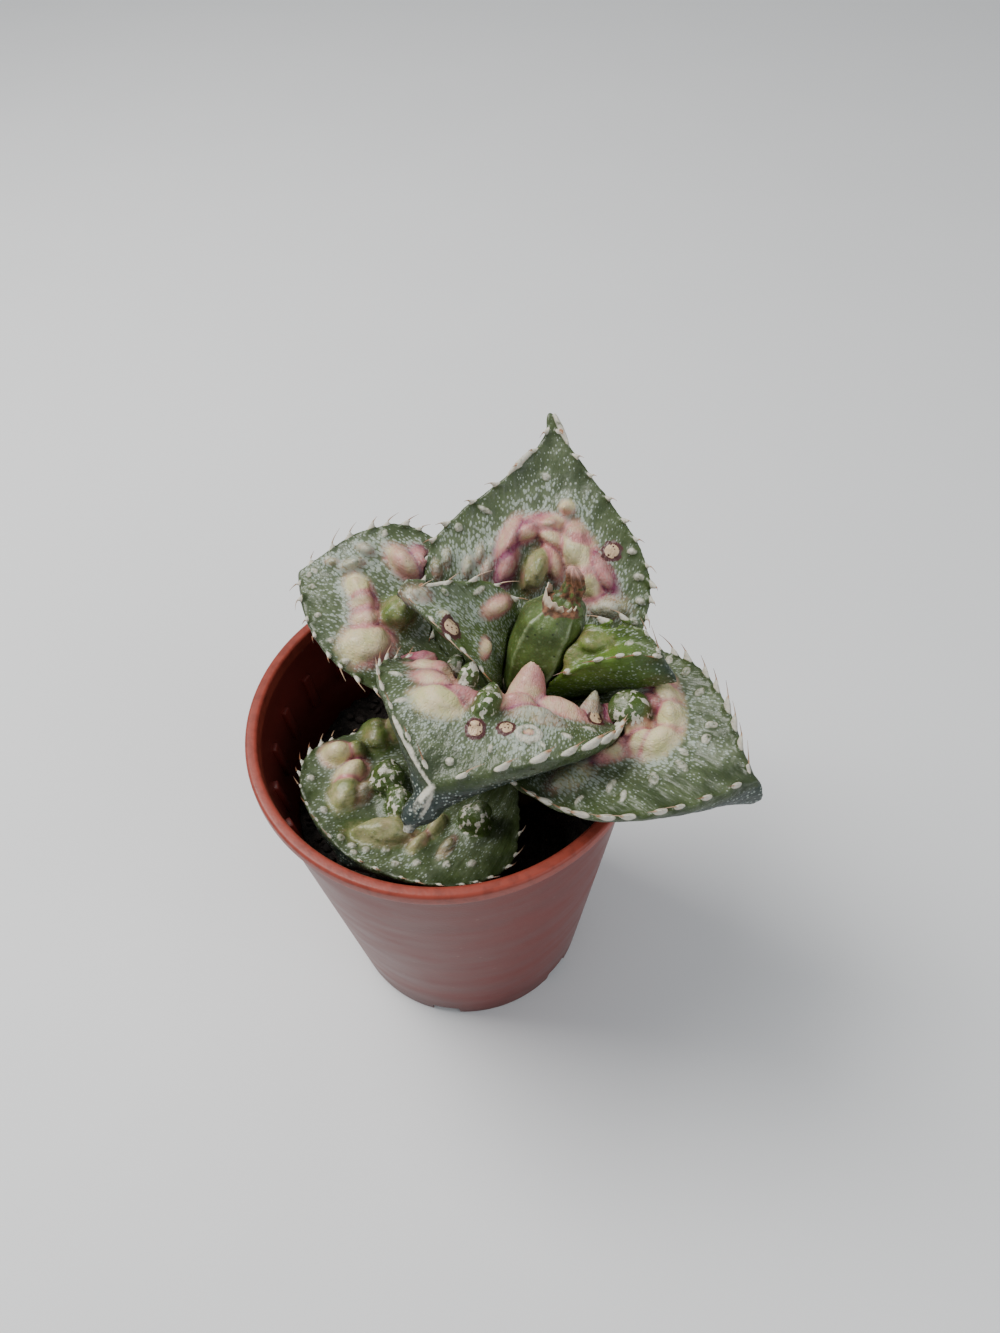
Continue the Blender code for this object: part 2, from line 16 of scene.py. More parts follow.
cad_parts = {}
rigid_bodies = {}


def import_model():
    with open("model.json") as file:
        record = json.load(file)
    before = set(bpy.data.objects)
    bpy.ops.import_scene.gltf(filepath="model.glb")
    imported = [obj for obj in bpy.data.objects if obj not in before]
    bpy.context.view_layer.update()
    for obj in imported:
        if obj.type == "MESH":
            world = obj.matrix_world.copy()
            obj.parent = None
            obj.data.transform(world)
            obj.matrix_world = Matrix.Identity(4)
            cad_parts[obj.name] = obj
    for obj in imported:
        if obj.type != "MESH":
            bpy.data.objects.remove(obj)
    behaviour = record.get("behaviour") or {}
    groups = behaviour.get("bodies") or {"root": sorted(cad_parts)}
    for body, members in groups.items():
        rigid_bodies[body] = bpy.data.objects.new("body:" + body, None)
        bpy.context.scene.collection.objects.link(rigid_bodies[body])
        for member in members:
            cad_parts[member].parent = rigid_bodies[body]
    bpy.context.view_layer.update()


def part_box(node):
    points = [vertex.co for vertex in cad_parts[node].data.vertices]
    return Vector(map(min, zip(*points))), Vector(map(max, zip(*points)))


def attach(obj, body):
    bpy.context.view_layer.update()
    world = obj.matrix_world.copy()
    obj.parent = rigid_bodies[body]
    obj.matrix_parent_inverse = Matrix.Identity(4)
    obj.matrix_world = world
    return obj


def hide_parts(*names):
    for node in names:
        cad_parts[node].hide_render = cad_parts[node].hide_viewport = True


bl_info = {
    "name": "Potted tiger jaws",
    "version": (1, 0, 0),
    "blender": (4, 5, 0),
    "location": "3D View > Sidebar > Tiger Jaws",
    "description": "Builds the fine leaves, bud, peat and pot of a small warty succulent",
    "category": "Add Mesh",
}

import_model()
POT_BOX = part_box("pot")
SOIL_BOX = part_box("soil")
STEM_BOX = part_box("stem")
MM = 0.001

# Pot, from the frame's own pot and the few sizes that its box doesn't hold
POT_HEIGHT = POT_BOX[1].z / MM
RIM_RADIUS = POT_BOX[1].x / MM
BASE_RADIUS = 20.0
LIP_WIDTH = 1.7
LIP_HEIGHT = 2.0
LIP_FOOT = POT_HEIGHT - LIP_HEIGHT
LIP_ROUND = 0.5
LIP_UNDERCUT = 0.35
FOOT_ROUND = 0.6
FLOOR = 1.4
FLOOR_ROUND = 1.2
RIB_LOW = 45.5
RIB_HIGH = 52.0
RIB_SUNK = 0.5
NOTCH_START = -101.0
NOTCH_DEPTH = 5.0
POT_SEGMENTS = 160

# Peat and stem
SOIL_LEVEL = 39.0
SOIL_GAP = 0.2
SOIL_CELLS = 150
STEM_PLACE = (10, 0.5)
STEM_KEEP_OUT = 6
STEM_RINGS = 40

# Leaf form: the ends of its ball, the narrow tip, the hollow of the face and the chin below it
FIRST_SHARE = 0.05
LAST_SHARE = 0.9417
NARROWEST = 0.03
FACE_SOFTNESS = 0.02
KEEL = 0.55
TIP_DEPTH = 0.6
CHIN_SLOPE = 5.0
AROUND_LEAF = 128
ALONG_LEAF = 96
LAST_TOOTH = 0.95
RING_RADIUS = 0.72
SKIRT = 1.0
FLESHY = 0.3
FACE_PLACES = 81
MARGIN_PLACES = 41
MIDDLE_REACH = 12.0
NEARBY = 0.02
EGG_CELLS = (32, 20)
BLOB_WIDTH = 0.7
BLOB_HEIGHT = 0.45
SCAR_HEIGHT = 0.4
TOOTH_LEAN = 1.3
TOOTH_WIDTH = 0.5
HAIR_ROOT = 0.72
CLEARANCE_CELL = 0.5
SMOOTH_ANGLE = 55
SEED = 7

# Bud: the ends of its axis, its radius at shares of the way along, and its torn collar
BUD_BASE = (10.2, -0.4, 61.5)
BUD_TIP = (17.3, 4.7, 80.8)
BUD_OUTLINE = (
    (0, 2.0), (0.15, 3.4), (0.4, 4.3), (0.6, 4.1), (0.71, 2.9), (0.77, 1.4), (0.94, 1.1), (1, 0.5),
)
BUD_CORNERS = 5
BEAK_GROOVES = 7
BEAK_FOOT = 0.77
COLLAR = 0.715
COLLAR_LOW = 0.68
COLLAR_HIGH = 0.78
COLLAR_SKIN = 0.14

# Tones that aren't settings, and the stage
HAIR_BROWN = (0.24, 0.10, 0.045)
HAIR_END = (0.07, 0.035, 0.025)
HAIR_STRAW = (0.50, 0.36, 0.24)
PEAT_FIBRE = (0.12, 0.085, 0.055)
STEM_BARK = (0.09, 0.06, 0.035)
SKY = (0.94, 0.97, 1.0, 1)
WARM = (1.0, 0.98, 0.95)
COOL = (0.92, 0.96, 1.0)
GRAIN_ROUGHNESS = 0.55
FLOOR_SIZE = 4
SKY_STRENGTH = 0.45
KEY_PLACE = (-0.25, 0.10, 0.50)
FILL_PLACE = (0.40, -0.35, 0.35)
LAMP_TARGET = (0.005, 0, 0.05)

# Camera of the photograph
CAMERA_PLACE = (0.0077, -0.0820, 0.1682)
CAMERA_PITCH = 50.78
CAMERA_ROLL = -2.5
FOCAL_PIXELS = 1000.0
IMAGE_LONG_SIDE = 1333.0
SENSOR = 36.0


@dataclass
class Wart:
    """A lump on a leaf's upper face: its place, length, width, height, heading, flesh and form."""

    s: float
    t: float
    length: float
    width: float
    height: float
    heading: float
    flesh: str
    form: str = "egg"


@dataclass
class Leaf:
    """A leaf from its base to its tip, with the widest points of its margins, as the solids have it."""

    name: str
    base: tuple
    tip: tuple
    left: tuple
    right: tuple
    shoulder: float
    thick: float
    chin: float
    cup: float
    root: tuple
    taper: tuple
    warts: list
    toothed: float = 0.2
    tooth_size: float = 1.0
    toe: tuple = (0, 0, 0)
    young: float = 0.1
    hair: float = 1.0
    blobs: tuple = ()
    scars: tuple = ()
    keel_shift: tuple = (0, 0, 0)
    ridges: tuple = ()
    prow: float = 0.0
    hazy: float = 1.0
    upright: float = 0.2
    left_teeth: float = 1.0

    def __post_init__(self):
        self.warts = [Wart(*row) for row in self.warts]


# Flesh of a wart: cream, blush, wax, young green, streaks, and how far a ball is lifted off the face
FLESH = {
    "ivory": (1.0, -0.05, 0.0, 0.0, 0.0, 0.0),
    "cream": (1.0, 0.12, 0.0, 0.0, 0.0, 0.0),
    "pink": (0.95, 0.38, 0.0, 0.0, 0.0, 0.0),
    "magenta": (0.9, 0.78, 0.0, 0.0, 0.0, 0.0),
    "lime": (0.50, 0.10, 0.0, 0.7, 0.0, 0.25),
    "ball": (0.0, 0.0, 0.0, 0.45, 0.9, 0.42),
    "apple": (0.36, 0.25, 0.0, 1.0, 0.0, 0.15),
    "pale": (0.50, 0.32, 0.40, 0.2, 0.3, 0.0),
    "horn": (0.80, 0.15, 0.25, 0.0, 0.0, 0.0),
    "rim": (0.0, 0.0, 0.62, 0.3, 0.0, 0.0),
    "tan": (0.50, 0.20, 0.0, 0.3, 0.0, 0.0),
}

# The rows in a leaf are its warts, as above, then for a blob (s, t, length, width), for a scar
# (s, t, radius) and for a ridge (from s, to s, side, radius)
LEAVES = [
    Leaf(
        "leaf_inner_left", (8.5, 0.5, 64), (-4.5, 4.3, 78), (2.9, -2.2, 74), (8.8, 7.0, 75),
        0.5, 5.0, 4.0, 2.5, (0.8, 0.8), (1.1, 1.1),
        [
            (0.45, 0.63, 3.6, 2.4, 1.2, 40, "pink"), (0.33, -0.43, 3.2, 2.0, 1.0, 60, "pink"),
            (0.69, -0.55, 1.8, 1.6, 1.1, 0, "pale"), (0.90, 0.05, 3.6, 2.4, 1.0, 160, "pale"),
        ],
        toothed=0.3, tooth_size=0.6, young=0.5, hair=1.2, scars=((0.62, -0.70, 1.25),),
        blobs=((0.62, 0.72, 1.8, 0.7), (0.78, 0.5, 1.4, 0.6)), ridges=((0.80, 1.0, 1, 0.3),),
    ),
    Leaf(
        "leaf_inner_right", (12.5, -0.5, 64.5), (27.5, -5.6, 74.5), (22.0, 0.2, 76.0), (20.3, -4.4, 73.6),
        0.5, 8.5, 5.5, 2.0, (0.8, 0.9), (1.1, 1.1),
        [
            (0.28, 0.40, 4.4, 3.2, 3.0, 30, "apple"), (0.36, -0.45, 4.6, 2.8, 2.4, 0, "apple"),
        ],
        toothed=0.3, tooth_size=0.7, toe=(0, -2.0, -0.6), young=1.0, hair=1.1, hazy=0.6,
        keel_shift=(-0.5, -4.5, 0.4), blobs=((0.28, 0.92, 2.6, 0.8), (0.62, 0.2, 1.4, 0.8)),
    ),
    Leaf(
        "leaf_back", (11, 4.5, 60), (16.0, 29.9, 85.0), (-2.0, 15.4, 72.0), (28.4, 8.8, 70.0),
        0.40, 7.0, 4.0, 2.5, (0.75, 0.75), (1.9, 1.3),
        [
            (0.45, -0.37, 7.0, 2.6, 2.2, 80, "magenta"), (0.53, -0.40, 6.4, 2.6, 2.4, 72, "pink"),
            (0.58, -0.25, 5.6, 2.6, 2.5, 40, "pink"), (0.61, -0.03, 6.2, 2.6, 2.5, 0, "pink"),
            (0.57, 0.17, 5.8, 2.6, 2.4, -60, "pink"), (0.49, 0.20, 6.0, 2.4, 2.2, 90, "pink"),
            (0.44, -0.10, 6.2, 3.2, 4.2, 75, "lime"), (0.58, 0.43, 4.4, 2.8, 2.2, 100, "pink"),
            (0.51, 0.44, 8.0, 4.2, 2.8, 95, "ivory"), (0.43, 0.50, 6.4, 4.0, 2.6, 100, "cream"),
            (0.47, 0.61, 6.4, 2.4, 2.1, 105, "magenta"), (0.34, 0.68, 5.6, 3.2, 1.8, -10, "pale"),
            (0.68, 0.37, 2.0, 2.0, 3.2, 90, "horn", "cone"), (0.38, -0.90, 2.6, 1.4, 1.2, 95, "pale"),
            (0.43, -0.84, 2.6, 1.2, 1.0, 90, "pale"), (0.41, -0.67, 3.0, 1.4, 1.2, 85, "pale"),
            (0.46, -0.60, 2.8, 1.3, 1.1, 85, "pale"), (0.41, -0.52, 3.0, 1.5, 1.3, 80, "pale"),
        ],
        toothed=0.12, tooth_size=0.62, young=0.15, hair=0.5, scars=((0.55, 0.72, 1.1),),
        ridges=((0.90, 1.0, 1, 0.42), (0.77, 0.87, -1, 0.42)),
        blobs=(
            (0.78, -0.07, 1.2, 1.0), (0.55, -0.87, 1.3, 0.9), (0.63, -0.78, 2.2, 0.6),
            (0.50, -0.52, 1.4, 0.9), (0.47, 0.9, 1.6, 0.8), (0.38, 0.92, 1.6, 0.8), (0.30, 0.90, 1.5, 0.8),
            (0.56, 0.90, 1.4, 0.7),
        ),
    ),
    Leaf(
        "leaf_front", (9, -1, 62), (-0.7, -18.5, 69.0), (-7.3, -0.8, 71.0), (21.5, -12.8, 69.0),
        0.35, 9.5, 7.0, 1.0, (0.85, 0.85), (0.95, 0.85),
        [
            (0.54, -0.47, 5.6, 4.4, 1.9, -20, "ivory"), (0.38, -0.56, 5.8, 3.8, 1.4, -35, "pink"),
            (0.45, -0.33, 5.4, 3.0, 1.8, -10, "magenta"), (0.24, -0.66, 6.4, 3.8, 1.7, -35, "pink"),
            (0.08, -0.88, 5.6, 3.6, 2.0, -25, "magenta"), (0.14, -0.58, 2.4, 2.2, 3.4, 0, "ball"),
            (0.31, -0.37, 3.0, 2.6, 3.8, 60, "ball"), (0.46, -0.08, 6.2, 3.2, 3.2, 65, "ball"),
            (0.20, 0.27, 5.6, 4.8, 7.4, 30, "pink", "cone"), (0.34, 0.24, 6.4, 3.2, 2.1, 0, "pink"),
            (0.23, 0.54, 7.2, 3.2, 2.2, -20, "pink"), (0.40, 0.42, 6.4, 3.0, 1.5, -10, "pale"),
            (0.58, 0.53, 3.6, 3.2, 2.8, 0, "rim", "ring"), (0.58, 0.53, 1.2, 1.1, 0.9, 0, "pink"),
            (0.15, 0.78, 3.4, 3.0, 4.4, 0, "pale", "cone"), (0.10, 0.92, 4.0, 2.6, 2.8, -10, "magenta"),
        ],
        toothed=0.1, tooth_size=1.15, toe=(-2.9, -1.6, -0.5), young=0.1, hair=0.9, prow=2.1, upright=1.0,
        left_teeth=0.6, ridges=((0.76, 1.0, -1, 0.45),),
        scars=(
            (0.65, 0.10, 1.0), (0.57, 0.33, 0.95), (0.20, 0.82, 0.9),
        ),
        blobs=(
            (0.87, 0.07, 1.1, 0.8), (0.50, 0.74, 1.9, 0.6), (0.62, 0.70, 1.7, 0.5), (0.36, 0.80, 2.0, 0.7),
            (0.64, -0.80, 1.8, 0.6), (0.45, -0.84, 2.0, 0.7), (0.74, 0.42, 1.3, 0.5),
        ),
    ),
    Leaf(
        "leaf_left", (7, 3, 58), (-19.3, 15.8, 71.0), (-11.6, -0.1, 67.0), (-1.4, 20.1, 73.0),
        0.45, 7.5, 4.5, 2.0, (0.8, 0.8), (0.9, 1.15),
        [
            (0.48, 0.58, 5.6, 3.0, 2.6, 130, "pink"), (0.42, 0.70, 4.4, 2.6, 2.2, 120, "magenta"),
            (0.60, -0.08, 4.6, 3.0, 1.9, 120, "cream"), (0.55, -0.24, 4.4, 3.2, 1.9, 110, "pink"),
            (0.51, -0.40, 4.6, 3.4, 1.8, 90, "pink"), (0.46, -0.61, 6.4, 5.2, 2.1, 30, "cream"),
            (0.41, -0.10, 5.2, 4.4, 4.2, 60, "apple"), (0.67, 0.62, 2.6, 1.5, 1.3, -30, "pale"),
            (0.69, 0.38, 3.2, 1.6, 1.5, 10, "pale"), (0.80, 0.42, 2.0, 1.1, 1.0, 0, "pale"),
        ],
        toothed=0.25, tooth_size=0.6, young=0.15, hair=1.0,
        blobs=(
            (0.82, 0.47, 2.2, 0.9), (0.6, -0.84, 1.1, 0.8), (0.72, -0.76, 1.0, 0.7), (0.84, -0.5, 1.0, 0.7),
            (0.88, 0.1, 1.2, 0.7), (0.62, 0.85, 1.4, 0.7), (0.9, -0.25, 1.0, 0.7), (0.5, -0.9, 1.1, 0.8),
        ),
    ),
    Leaf(
        "leaf_right", (13, -1, 60), (37.4, -18.7, 67.5), (30.1, 1.0, 68.0), (14.3, -20.1, 64.5),
        0.35, 6.9, 6.5, 1.5, (0.9, 0.9), (1.25, 0.95),
        [
            (0.36, -0.28, 5.4, 5.2, 4.8, 0, "ball"), (0.35, -0.70, 6.0, 2.8, 2.3, -45, "pink"),
            (0.44, -0.58, 5.0, 2.8, 2.4, -70, "cream"), (0.42, -0.46, 4.6, 1.8, 2.2, -60, "magenta"),
            (0.50, -0.40, 5.2, 3.2, 2.5, 80, "ivory"), (0.51, -0.13, 5.4, 3.2, 2.4, 30, "ivory"),
            (0.45, 0.10, 5.6, 2.8, 2.2, 10, "cream"), (0.38, 0.28, 6.0, 2.8, 2.0, 10, "pink"),
            (0.41, -0.08, 5.4, 1.8, 2.2, 20, "pink"), (0.29, 0.68, 5.6, 4.0, 1.2, 20, "tan"),
        ],
        toothed=0.12, tooth_size=0.85, toe=(0.6, -1.0, 0.8), young=0.1, hair=1.0, upright=0.8,
        blobs=(
            (0.45, 0.63, 2.2, 0.8), (0.58, 0.47, 2.0, 1.0), (0.65, 0.23, 2.2, 0.9), (0.68, -0.43, 1.3, 1.0),
            (0.67, -0.62, 1.6, 0.8), (0.55, -0.8, 1.5, 0.8), (0.45, -0.88, 1.5, 0.8),
            (0.36, -0.92, 1.5, 0.8), (0.38, 0.85, 1.8, 0.6), (0.52, 0.72, 2.0, 0.7),
            (0.62, -0.12, 1.6, 0.7),
        ),
    ),
    Leaf(
        "leaf_low", (7.5, -1.5, 47), (-13.6, -17.8, 52.5), (6.8, -20.4, 50.0), (-17.5, 0.7, 52.0),
        0.38, 5.5, 4.0, 2.0, (0.18, 0.6), (0.95, 0.8),
        [
            (0.40, 0.83, 4.0, 3.4, 3.0, 10, "cream"), (0.33, 0.79, 2.6, 2.6, 2.8, 0, "apple"),
            (0.16, 0.92, 3.6, 3.4, 4.4, 0, "lime"), (0.22, 0.90, 5.0, 3.8, 2.8, 80, "apple"),
            (0.54, 0.52, 5.2, 3.8, 2.7, 70, "lime"), (0.43, 0.63, 5.0, 3.0, 2.7, 50, "cream"),
            (0.47, 0.44, 4.0, 2.4, 2.2, 60, "pale"), (0.35, 0.42, 5.2, 4.6, 4.4, 70, "ball"),
            (0.40, 0.16, 4.6, 4.0, 4.0, 80, "ball"), (0.57, -0.18, 8.4, 3.8, 3.0, 0, "lime"),
            (0.37, -0.36, 4.2, 1.9, 2.2, 60, "lime"), (0.49, -0.42, 4.0, 1.7, 1.6, 52, "lime"),
            (0.43, -0.58, 3.8, 1.5, 1.4, 60, "pale"), (0.27, -0.57, 4.8, 4.4, 4.6, 0, "ball"),
        ],
        # young=0.05 and hazy=0.7 darken this leaf as painted shade, for the shadow that the front leaf
        # casts on it.
        toothed=0.2, tooth_size=0.5, young=0.05, hair=0.5, hazy=0.7,
        blobs=(
            (0.75, -0.27, 1.3, 0.9), (0.65, -0.36, 1.2, 0.9), (0.6, -0.62, 1.2, 0.9),
            (0.5, -0.72, 1.2, 0.9), (0.7, -0.6, 1.1, 0.8), (0.8, 0.0, 1.2, 0.9), (0.82, 0.3, 1.3, 0.9),
            (0.72, 0.62, 1.2, 0.9), (0.6, 0.85, 1.1, 0.8), (0.86, -0.25, 1.0, 0.8), (0.42, -0.8, 1.1, 0.9),
            (0.68, 0.2, 1.0, 0.7),
        ),
    ),
    Leaf(
        "leaf_low_back", (12, 3, 47), (17.0, 12.5, 57.0), (7.5, 15.5, 54.0), (21.0, 3.5, 53.0),
        0.4, 5.0, 4.0, 1.5, (0.85, 0.85), (1.0, 1.0),
        [
            (0.45, -0.20, 5.0, 3.6, 2.4, 60, "lime"), (0.42, 0.35, 4.6, 3.4, 2.2, -30, "pink"),
        ],
        toothed=0.25, young=0.3, hair=0.8, blobs=((0.7, 0.1, 1.6, 0.9), (0.65, -0.5, 1.6, 0.9)),
    ),
]


def colour(name, description, default):
    return FloatVectorProperty(
        name=name, description=description, default=default, size=3, subtype="COLOR", min=0, max=1
    )


def length(name, description, default):
    """A length property whose default is given in millimetres."""
    return FloatProperty(
        name=name, description=description, default=default * MM, min=0, unit="LENGTH", precision=5
    )


def power(name, description, default):
    return FloatProperty(name=name, description=description, default=default, min=0, unit="POWER")


class PotSettings(bpy.types.PropertyGroup):
    """Sizes and colours of the nursery pot"""

    wall: length("Wall", "Thickness of the wall", 1.0)
    rib_width: length("Rib width", "Width of each short rib inside the wall", 1.5)
    rib_depth: length("Rib depth", "How far a rib stands in from the wall", 0.7)
    notch_width: length("Notch width", "Width of a drain notch at the foot", 4.6)
    notch_height: length("Notch height", "Height of a drain notch", 2.4)
    rib_count: IntProperty(name="Ribs", description="Short ribs round the inside", default=24, min=3)
    notch_count: IntProperty(name="Notches", description="Drain notches round the foot", default=6, min=1)
    plastic: colour("Plastic", "Red-brown of the wall", (0.150, 0.021, 0.015))
    # The lip's brighter orange is a painted highlight where the lip faces the light.
    lip: colour("Lip", "Brighter orange of the worn lip", (0.27, 0.048, 0.031))
    dust: colour("Dust", "Dried water and dust on the wall", (0.26, 0.12, 0.11))


class LeafSettings(bpy.types.PropertyGroup):
    """Sizes and colours of the leaves, teeth and hairs"""

    detail: length("Detail", "Size of the cells that fuse a leaf with its warts and teeth", 0.2)
    clearance: length("Clearance", "Gap between neighbouring pieces", 0.35)
    tooth_spacing: length("Tooth spacing", "Distance between teeth along a margin", 2.8)
    tooth_height: length("Tooth height", "Height of a full tooth", 2.3)
    tooth_length: length("Tooth length", "Length of a tooth's foot along the margin", 2.3)
    hair_length: length("Hair length", "Length of a long hair on a tooth", 1.6)
    hair_radius: length("Hair radius", "Radius of a hair at its root", 0.10)
    dark: colour("Dark green", "The leaf where it has no flecks", (0.022, 0.035, 0.010))
    green: colour("Green", "The leaf's usual green", (0.047, 0.070, 0.019))
    young: colour("Young green", "Bright green of the inner leaves' bases", (0.105, 0.185, 0.022))
    # Undersides: a blue-grey green that is partly their own tone and partly painted shade, much darker than
    # the upper faces.
    underside_shade: colour("Underside", "The blue-grey green of the undersides", (0.018, 0.032, 0.032))
    bloom: colour("Bloom", "Grey-green of the waxy bloom", (0.200, 0.232, 0.155))
    fleck: colour("Flecks", "White flecks of the skin", (0.46, 0.52, 0.47))
    cream: colour("Cream", "Palest flesh of the warts", (0.68, 0.56, 0.34))
    ivory: colour("Ivory", "Greenish flesh of the warts", (0.56, 0.52, 0.24))
    pink: colour("Pink", "Pink flesh of the warts", (0.53, 0.215, 0.205))
    # Magenta is the deep flesh of some warts, and also painted shade in the creases between warts.
    magenta: colour("Magenta", "Deep edges of the warts", (0.25, 0.030, 0.105))
    wax: colour("Wax", "White of teeth, tubercles and caps", (0.66, 0.63, 0.53))
    thorn: colour("Thorn", "Tan points of the teeth", (0.36, 0.19, 0.10))
    scar: colour("Scar", "Corky middle of a scar", (0.58, 0.42, 0.26))
    bruise: colour("Bruise", "Dark purple-brown round a scar", (0.075, 0.020, 0.020))


class BudSettings(bpy.types.PropertyGroup):
    """Colours of the spent bud"""

    pod: colour("Pod", "Smooth green of the pod", (0.085, 0.130, 0.028))
    ridge: colour("Ridges", "Pale waxy ridges", (0.33, 0.39, 0.22))
    papery: colour("Papery", "Dry brown collar and beak", (0.24, 0.105, 0.050))
    torn: colour("Torn edge", "White edge of the collar", (0.60, 0.50, 0.38))
    beak: colour("Beak", "Pinkish tip of the beak", (0.46, 0.26, 0.21))


class SoilSettings(bpy.types.PropertyGroup):
    """The peat in the pot and the short stem"""

    roughness: length("Roughness", "How far clods stand up", 1.5)
    crumb: length("Crumb", "Radius of a large crumb", 0.9)
    crumbs: IntProperty(name="Crumbs", description="Loose crumbs on the peat", default=300, min=0)
    peat: colour("Peat", "Damp dark peat", (0.016, 0.012, 0.010))
    stem: colour("Stem", "Dull olive of the stem", (0.13, 0.14, 0.07))


class StageSettings(bpy.types.PropertyGroup):
    """The floor and the lights"""

    floor: colour("Floor", "Pale studio floor", (0.80, 0.81, 0.82))
    key: power("Key light", "Power of the large lamp", 3.6)
    fill: power("Fill light", "Power of the side lamp", 1.0)


SETTINGS = {
    "jaws_pot": PotSettings,
    "jaws_leaf": LeafSettings,
    "jaws_bud": BudSettings,
    "jaws_soil": SoilSettings,
    "jaws_stage": StageSettings,
}


# Small modelling steps


def object_mode():
    if bpy.context.mode != "OBJECT":
        bpy.ops.object.mode_set(mode="OBJECT")


def select_only(*things):
    object_mode()
    bpy.ops.object.select_all(action="DESELECT")
    for thing in things:
        thing.select_set(True)
    if things:
        bpy.context.view_layer.objects.active = things[0]


def edit_all(thing):
    """Opens one mesh in edit mode with all of it selected."""
    select_only(thing)
    bpy.ops.object.mode_set(mode="EDIT")
    bpy.ops.mesh.select_all(action="SELECT")


def face_out(thing):
    """Turns every face of a closed mesh outwards."""
    edit_all(thing)
    bpy.ops.mesh.normals_make_consistent(inside=False)
    object_mode()


def modify(thing, kind, **values):
    """Adds a modifier, sets its values and applies it."""
    modifier = thing.modifiers.new(kind.lower(), kind)
    for name, value in values.items():
        setattr(modifier, name, value)
    select_only(thing)
    bpy.ops.object.modifier_apply(modifier=modifier.name)


def join(things, name):
    """Joins the objects into the first of them."""
    select_only(*things)
    if len(things) > 1:
        bpy.ops.object.join()
    things[0].name = name
    return things[0]


def copy_of(master, matrix):
    """A copy of a master shape with a mesh of its own, placed by a matrix in millimetres."""
    mesh = master.data.copy()
    mesh.transform(Matrix.Scale(MM, 4) @ matrix)
    made = bpy.data.objects.new("copy", mesh)
    bpy.context.scene.collection.objects.link(made)
    return made


def coordinates(thing):
    """The points of a mesh in millimetres."""
    flat = np.empty(len(thing.data.vertices) * 3)
    thing.data.vertices.foreach_get("co", flat)
    return flat.reshape(-1, 3) / MM


def set_coordinates(thing, points):
    thing.data.vertices.foreach_set("co", (points * MM).ravel())
    thing.data.update()


def set_attributes(thing, masks):
    for name, values in masks.items():
        made = thing.data.attributes.new(name, "FLOAT", "POINT")
        made.data.foreach_set("value", np.asarray(values, dtype=np.float32))


def primitive(kind, **sizes):
    """A new primitive, added with nothing else selected."""
    select_only()
    getattr(bpy.ops.mesh, "primitive_" + kind + "_add")(**sizes)
    return bpy.context.object


def ball(segments, rings):
    return primitive("uv_sphere", segments=segments, ring_count=rings, radius=1)


def lumpy_ball(number):
    """A ball with soft dents of its own."""
    made = ball(*EGG_CELLS)
    for vert in made.data.vertices:
        place = vert.co * 1.4 + Vector((number * 7.3, 0, 0))
        vert.co *= 1 + 0.24 * noise.noise(place) + 0.12 * noise.noise(place * 2.6)
    return made


def spike(sides, rings, radius_rule):
    """An upright spike one unit tall, cut into rings that follow a radius rule."""
    made = primitive("cylinder", vertices=sides, radius=1, depth=1, location=(0, 0, 0.5))
    bpy.ops.object.transform_apply(location=True)
    bpy.ops.object.mode_set(mode="EDIT")
    for cut in range(1, rings):
        bpy.ops.mesh.select_all(action="SELECT")
        bpy.ops.mesh.bisect(plane_co=(0, 0, cut / rings), plane_no=(0, 0, 1))
    object_mode()
    for vert in made.data.vertices:
        radius = radius_rule(vert.co.z)
        vert.co.x *= radius
        vert.co.y *= radius
    return made


def remove(*things):
    for thing in things:
        bpy.data.objects.remove(thing, do_unlink=True)


def remesh(thing, cell, smoothing):
    """Fuses all of a mesh's shells into one skin of small cells and smooths it."""
    modify(thing, "REMESH", mode="VOXEL", voxel_size=cell, use_smooth_shade=True)
    if smoothing:
        modify(thing, "SMOOTH", factor=0.5, iterations=smoothing)


def swell(thing, size, strength):
    """Uneven growth: clouds of one size move the skin in and out."""
    clouds = bpy.data.textures.new("growth", "CLOUDS")
    clouds.noise_scale = size * MM
    modify(thing, "DISPLACE", texture=clouds, texture_coords="LOCAL", strength=strength * MM, mid_level=0.5)


def cut_clear(thing, above, gap):
    """Cuts a piece clear of the ones above it, then adds its own clearance body to them."""
    if above.objects:
        meet = {"operand_type": "COLLECTION", "collection": above, "solver": "MANIFOLD"}
        modify(thing, "BOOLEAN", operation="DIFFERENCE", **meet)
        keep_largest(thing)
    body = bpy.data.objects.new("clear_" + thing.name, thing.data.copy())
    above.objects.link(body)
    body.data.materials.clear()
    remesh(body, CLEARANCE_CELL * MM, 0)
    modify(body, "DISPLACE", strength=gap, mid_level=0)


def keep_largest(thing):
    """Drops the scraps that a cut has parted from a piece."""
    edit_all(thing)
    bpy.ops.mesh.separate(type="LOOSE")
    object_mode()
    shells = sorted(bpy.context.selected_objects, key=lambda shell: len(shell.data.vertices))
    name = thing.name
    remove(*[shell for shell in shells[:-1] if shell is not thing])
    if shells[-1] is not thing:
        thing.data = shells[-1].data
        remove(shells[-1])
    thing.name = name


def finish_piece(thing, surface, node):
    """The finish, the body it rides on, the solid it stands for and its material slot."""
    thing.data.materials.clear()
    thing.data.materials.append(surface)
    select_only(thing)
    bpy.ops.object.shade_smooth_by_angle(angle=math.radians(SMOOTH_ANGLE))
    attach(thing, "root")
    if node:
        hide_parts(node)


# Materials


